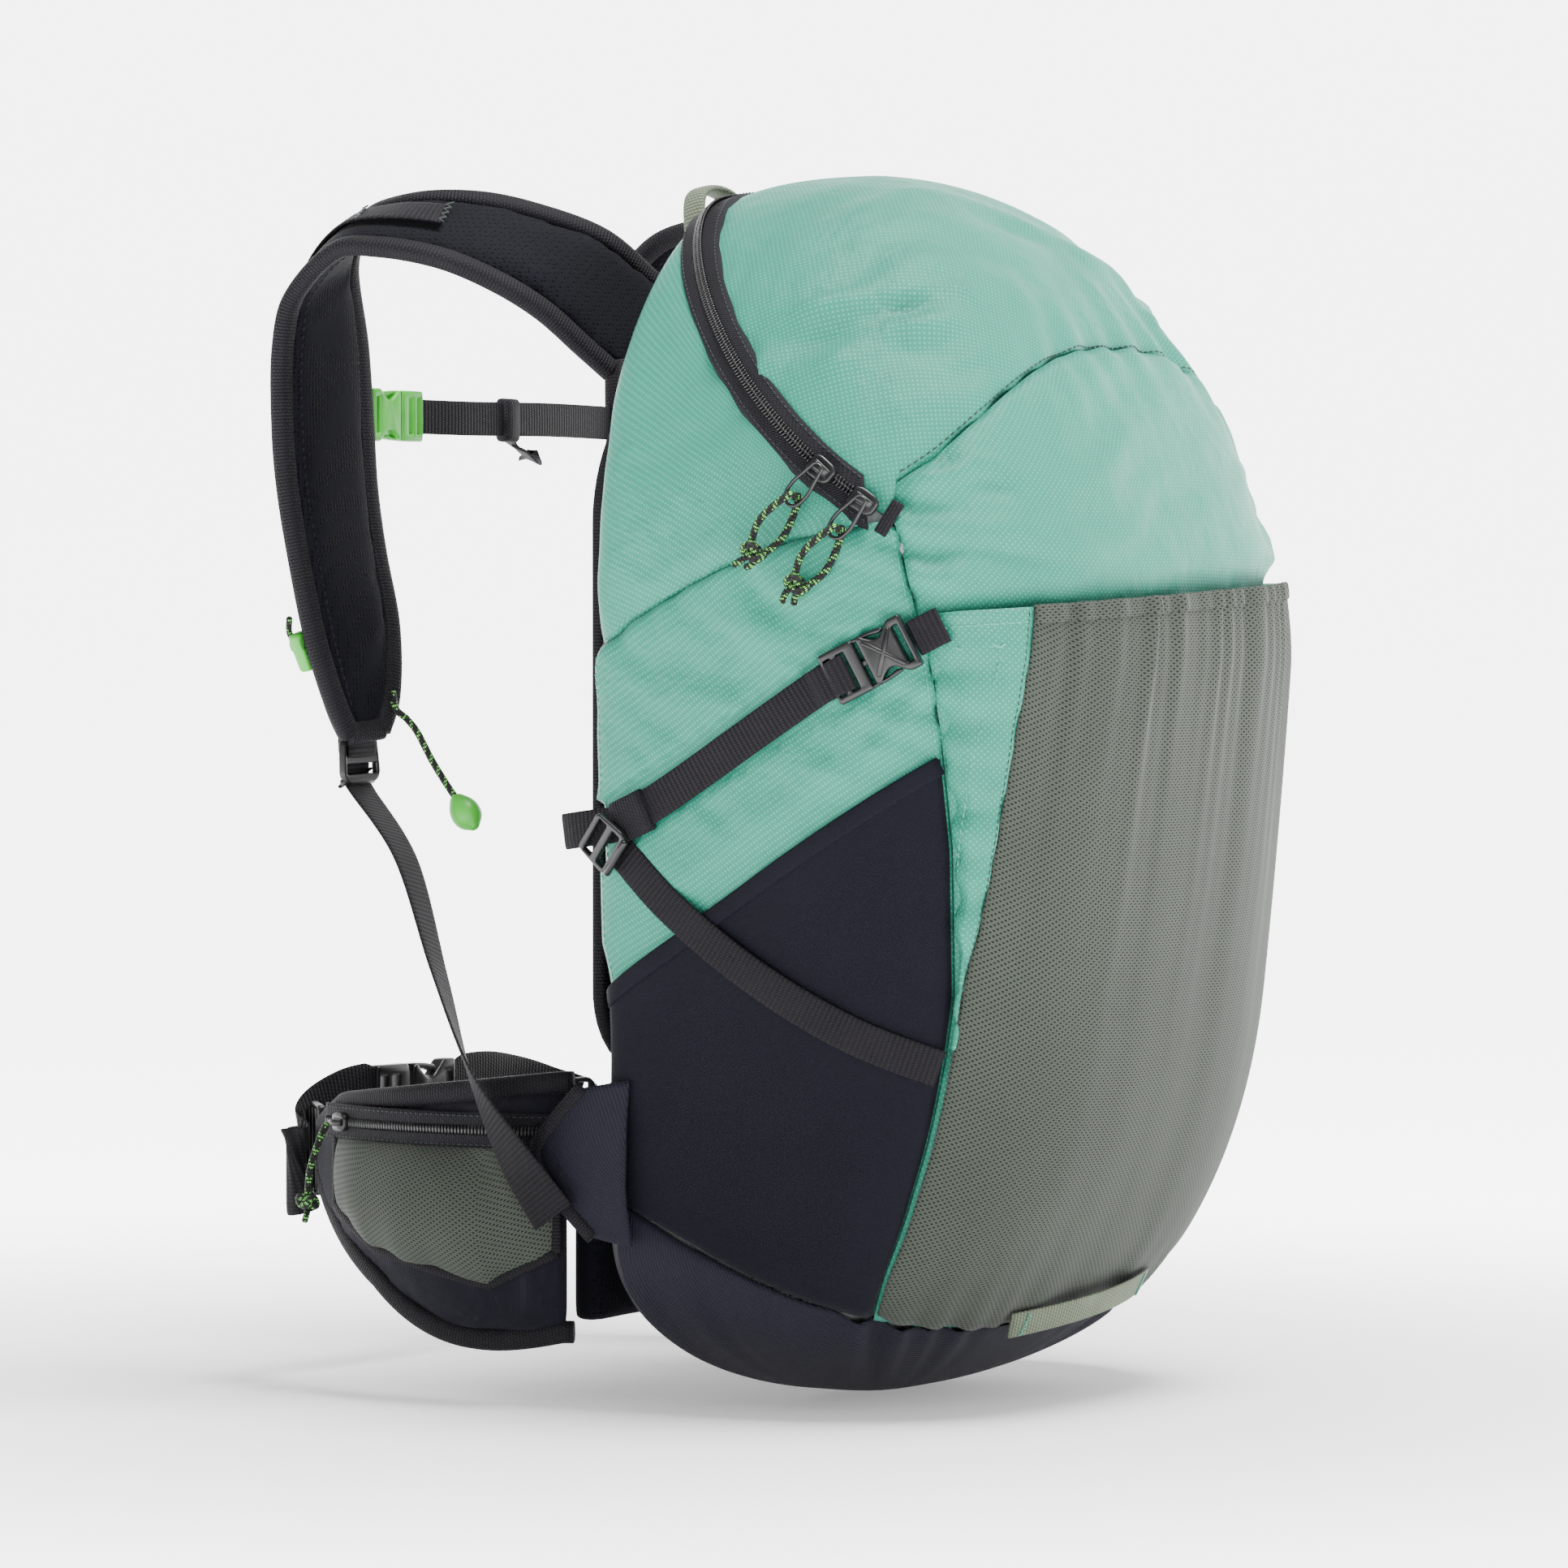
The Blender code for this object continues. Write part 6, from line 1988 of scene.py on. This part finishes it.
def stabiliser(word, side):
    """The twill triangle between the bag's side and the wing."""
    edge = [(-0.1440, -0.0270, 0.1330), (-0.1450, -0.0260, 0.1150), (-0.1455, -0.0260, 0.1010),
            (-0.1455, -0.0260, 0.0850), (-0.1440, -0.0280, 0.0650)]
    lap = [(-0.1440, -0.0040, 0.1290), (-0.1435, 0.0100, 0.1150), (-0.1440, 0.0190, 0.1010),
           (-0.1440, 0.0090, 0.0850), (-0.1440, -0.0090, 0.0680)]
    a, b = ([mirrored(p, side) for p in smooth(row, 6)] for row in (edge, lap))
    columns = 12
    points = np.array([[a[k].lerp(b[k], i / columns) for i in range(columns + 1)]
                       for k in range(len(a))])
    panel = Panel(points)
    panel.lift(0.0010 * np.sin(math.pi * panel.left / np.maximum(panel.left[:, -1:], 1e-6)))
    cloth = panel.make(f"stabiliser_cloth_{word}", TWILL, wall=0.0014)
    settled(cloth)
    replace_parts(cloth, f"stabiliser_{word}")
    rim = ribbon(f"stabiliser_binding_{word}", b, [x - y for x, y in zip(a, b)], 0.0060, 0.0034,
                 BINDING, 0.7, 12)
    for thing in (cloth, rim):
        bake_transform(thing)


HIP_BUCKLE = Vector((-0.0200, 0.1690, 0.1105))
BELT_WEB = 0.038


def hip_front():
    """The belt's webs, ladder-locks and buckle."""
    buckle("hip", "bag", "hip_plug", ("hip_socket", "hip_plug"), HIP_BUCKLE, Vector((1, 0, 0)),
           Vector((0, 1, 0)), BELT_WEB * 0.62, PLASTIC, "black_plastic")
    ends = {"left": [(-0.0420, 0.1690, 0.1105), (-0.0470, 0.1690, 0.1105),
                     (-0.0650, 0.1705, 0.1085), (-0.0850, 0.1717, 0.1020),
                     (-0.0968, 0.1701, 0.0950), (-0.1034, 0.1645, 0.0890),
                     (-0.1072, 0.1640, 0.0870), (-0.1085, 0.1680, 0.0855),
                     (-0.1045, 0.1722, 0.0855), (-0.0920, 0.1750, 0.0855)],
            "right": [(0.0140, 0.1690, 0.1105), (0.0180, 0.1690, 0.1105),
                      (0.0450, 0.1705, 0.1105), (0.0750, 0.1722, 0.1060),
                      (0.0966, 0.1701, 0.1000), (0.1036, 0.1642, 0.0970)]}
    for word, points in ends.items():
        line = smooth(points, 8)
        widths = [BELT_WEB * 0.985 - 0.012 * max(1 - k / 10, 0) for k in range(len(line))]
        web = ribbon(f"hip_web_cloth_{word}", line, [UP] * len(line), widths, 0.0017, WEB)
        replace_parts(web, f"hip_web_{word}")
        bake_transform(web)
    for word, side in SIDES.items():
        place, normal = belt_point(side, WING_TO + 4.4)
        at = frame_at(place + UP * 0.095, normal.cross(UP), normal)
        lock = ladder_lock(f"hip_ladder_{word}", at, BELT_WEB * 0.9)
        finish_piece(lock, f"wing_{word}", "black_plastic", f"hip_lock_{word}")


# ---- back ------------------------------------------------------------------------------
def panel_half(z):
    """Half width of the back panel at a height."""
    if z > 0.360:
        return 0.112 * math.sqrt(max(1 - ((z - 0.360) / 0.080) ** 2, 0.02))
    if z < 0.167:
        return 0.082 + 0.030 * math.sqrt(max(1 - ((0.167 - z) / 0.030) ** 2, 0))
    return 0.112


def back_padding():
    """The channelled back panel with its binding, and the cushion below it."""
    def place(u, v):
        z = 0.139 + 0.299 * v
        return Vector(((2 * u - 1) * (panel_half(z) - 0.003), PAD_FACE_Y - PAD_THICK / 2, z))
    pad = crowned("back_padding", place, lambda u, v: Vector((0, 1, 0)), 40, 56, 0.0086, 0.0034,
                  PADDING, 5)
    stuffed(pad, 0.0052, 4.0, 0.0012)

    def channels(p):
        if p.y < PAD_FACE_Y - PAD_THICK / 2:
            return Vector()
        middle = math.exp(-((p.x / 0.011) ** 4))
        rows = max(math.exp(-(((p.z - z) / 0.0035) ** 2)) for z in (0.195, 0.250, 0.305, 0.360))
        side = math.exp(-(((abs(p.x) - 0.088) / 0.0030) ** 2))
        return Vector((0, -0.0048 * max(middle, 0.75 * rows * (1 - middle), 0.4 * side), 0))
    pressed(pad, channels)
    finish_piece(pad, "bag", "strap_mesh", "back_panel")
    edge = [place(1, v / 60) for v in range(61)] + [place(0, 1 - v / 60) for v in range(61)]
    edge = [Vector((p.x + math.copysign(0.002, p.x), p.y - 0.0008, p.z)) for p in edge]
    inward = [Vector((-p.x, 0, 0.28 - p.z)) for p in edge]
    trim = ribbon("back_binding", edge, inward, 0.0070, 0.0064, BINDING, 0.75, 12)
    finish_piece(trim, "bag", "strap_mesh")
    low, high = wing_span(WING_FROM)
    wide = 0.1283 - WING_THICK - 0.002

    def lumbar(u, v):
        return Vector(((2 * u - 1) * wide, PAD_FACE_Y + 0.0002,
                       low + 0.005 + (high - low - 0.010) * v))
    pad = crowned("lumbar_cushion", lumbar, lambda u, v: Vector((0, 1, 0)), 40, 18, 0.0175, 0.0110,
                  PADDING, 4)
    stuffed(pad, 0.0052, 4.0, 0.0014)
    finish_piece(pad, "bag", "strap_mesh", "lumbar_pad")


def inner_parts():
    """The sleeve inside the bag, and the finish of the stay and the stiff sheet behind it."""
    columns, rows = 30, 46
    inside = -0.0143                         # y of the sleeve, just in front of the stiff sheet
    points = np.empty((rows + 1, columns + 1, 3))
    for j in range(rows + 1):
        z = 0.112 + 0.283 * j / rows
        half = 0.084 * (math.sqrt(max(1 - ((z - 0.350) / 0.052) ** 2, 0.03)) if z > 0.350 else 1)
        for i in range(columns + 1):
            points[j, i] = ((2 * i / columns - 1) * half, inside, z)
    panel = Panel(points)
    panel.lift(np.abs(0.0012 * ripple(panel.left, 141, 0.05) * np.exp(-panel.high / 0.1)) * -1)
    sleeve = panel.make("sleeve_cloth", LINING, wall=0.0007)
    finish_piece(sleeve, "bag", "mint_cloth", "hydration_sleeve")
    for node, paint in (("frame_stay", METAL), ("frame_sheet", SHEET)):
        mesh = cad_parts[node].data
        mesh.materials.clear()
        mesh.materials.append(paint)
        mesh.shade_smooth()
        mesh.set_sharp_from_angle(angle=math.radians(40))


def loops():
    """The haul loop behind the bag's top, and the light loop low on its front."""
    half = 0.020
    rise = [(-half, 0.0165, 0.4715), (-half, 0.0200, 0.488), (-0.013, 0.0240, 0.501),
            (0, 0.0255, 0.5045), (0.013, 0.0240, 0.501), (half, 0.0200, 0.488),
            (half, 0.0165, 0.4715)]
    line = smooth(rise, 8)
    haul = ribbon("haul_loop_web", line, [Vector((0, 1, -0.15)).normalized()] * len(line), 0.0105,
                  0.0034, LOOP_WEB, 0.6, 16)
    finish_piece(haul, "haul_loop", "green_grey_webbing", "haul_loop")
    line = []
    for k in range(31):
        x, z = -0.038 + 0.095 * k / 30, 0.0300 + 0.012 * k / 30
        bow = 1 - ((k - 15) / 15) ** 2
        surface = skin(-90 + math.degrees(math.asin(x / 0.16)), z, 0.0128)
        line.append(Vector((x, surface.y - 0.0055 * bow, z)))
    slope = Vector((0, -0.45, 0.9)).normalized()
    light = ribbon("light_loop_web", line, [slope] * len(line), 0.012, 0.0015, LOOP_WEB)
    finish_piece(light, "bag", "green_grey_webbing", "light_loop")
    tacks = []
    for k in (2, 28):
        t = (line[k + 1] - line[k - 1]).normalized()
        out = t.cross(slope).normalized()
        out = out if out.y < 0 else -out
        row = [line[k] + slope * (0.0100 * n / 10 - 0.0050)
               + t * (0.0007 if n % 2 else -0.0007) + out * 0.0010 for n in range(11)]
        tacks.append(tube("tack", row, TACK_RADIUS, MINT_STITCH, 6))
    finish_piece(join("light_loop_tacks", tacks), "bag", "green_grey_webbing")


shoulder_straps()
cord_root()
cord_lock()
compression_straps()
sternum_strap()
hip_wings()
hip_front()
back_padding()
inner_parts()
loops()

finish_piece(stitches("bag_seam_stitches", STITCH_ROWS["bag"], MINT_STITCH, 0.0034, 0.66, 0.00024),
             "bag", "mint_cloth")
for body in ("bag", "lid"):
    finish_piece(stitches(f"zip_tape_stitches_{body}", STITCH_ROWS[f"tape_{body}"], DARK_STITCH,
                          0.0028, 0.66, 0.00022), body, "black_webbing")


# ---- studio ----------------------------------------------------------------------------
WORLD_LIGHT = 0.26
LIGHTS = [("key", (-1.9, -1.6, 2.2), 1.2, 12), ("top", (0.1, -0.7, 2.6), 1.2, 170),
          ("fill", (0.9, -2.7, 0.9), 1.8, 14), ("rim", (-0.8, 2.4, 1.4), 1.4, 8)]


def studio():
    """A floor that sweeps up behind the object, and the lights: name, place, size and power."""
    floor_z = CAD_BOX[0][2] - 0.0006
    turn_at, bend = 4.0, 6.0
    profile = [(-16.0, 0.0)] + [(turn_at + bend * math.sin(a), bend * (1 - math.cos(a)))
                               for a in (math.radians(7.5 * k) for k in range(13))]
    away = Vector((CAMERA_AIM - CAMERA_PLACE).to_2d()).normalized()
    right = Vector((away.y, -away.x))
    verts = []
    for along, up in profile:
        for wide in (-16.0, 16.0):
            spot = away * along + right * wide
            verts.append(Vector((spot.x, spot.y, up + floor_z)) - SHIFT)
    faces = [(2 * k, 2 * k + 1, 2 * k + 3, 2 * k + 2) for k in range(len(profile) - 1)]
    backdrop = piece("studio_sweep", verts, faces, [(v[0], v[1]) for v in verts], floor_paint())

    world = bpy.data.worlds.new("studio")
    world.use_nodes = True
    sky = world.node_tree.nodes["Background"]
    sky.inputs["Color"].default_value = (1.0, 1.0, 1.0, 1)
    sky.inputs["Strength"].default_value = WORLD_LIGHT
    bpy.context.scene.world = world
    for name, place, size, power in LIGHTS:
        data = bpy.data.lights.new(name, "AREA")
        data.shape = "DISK"
        data.size = size
        data.energy = power
        light = bpy.data.objects.new(name, data)
        bpy.context.scene.collection.objects.link(light)
        light.location = place
        aim = Vector((0, -0.03, 0.0)) - Vector(place)
        light.rotation_euler = aim.to_track_quat("-Z", "Y").to_euler()


studio()
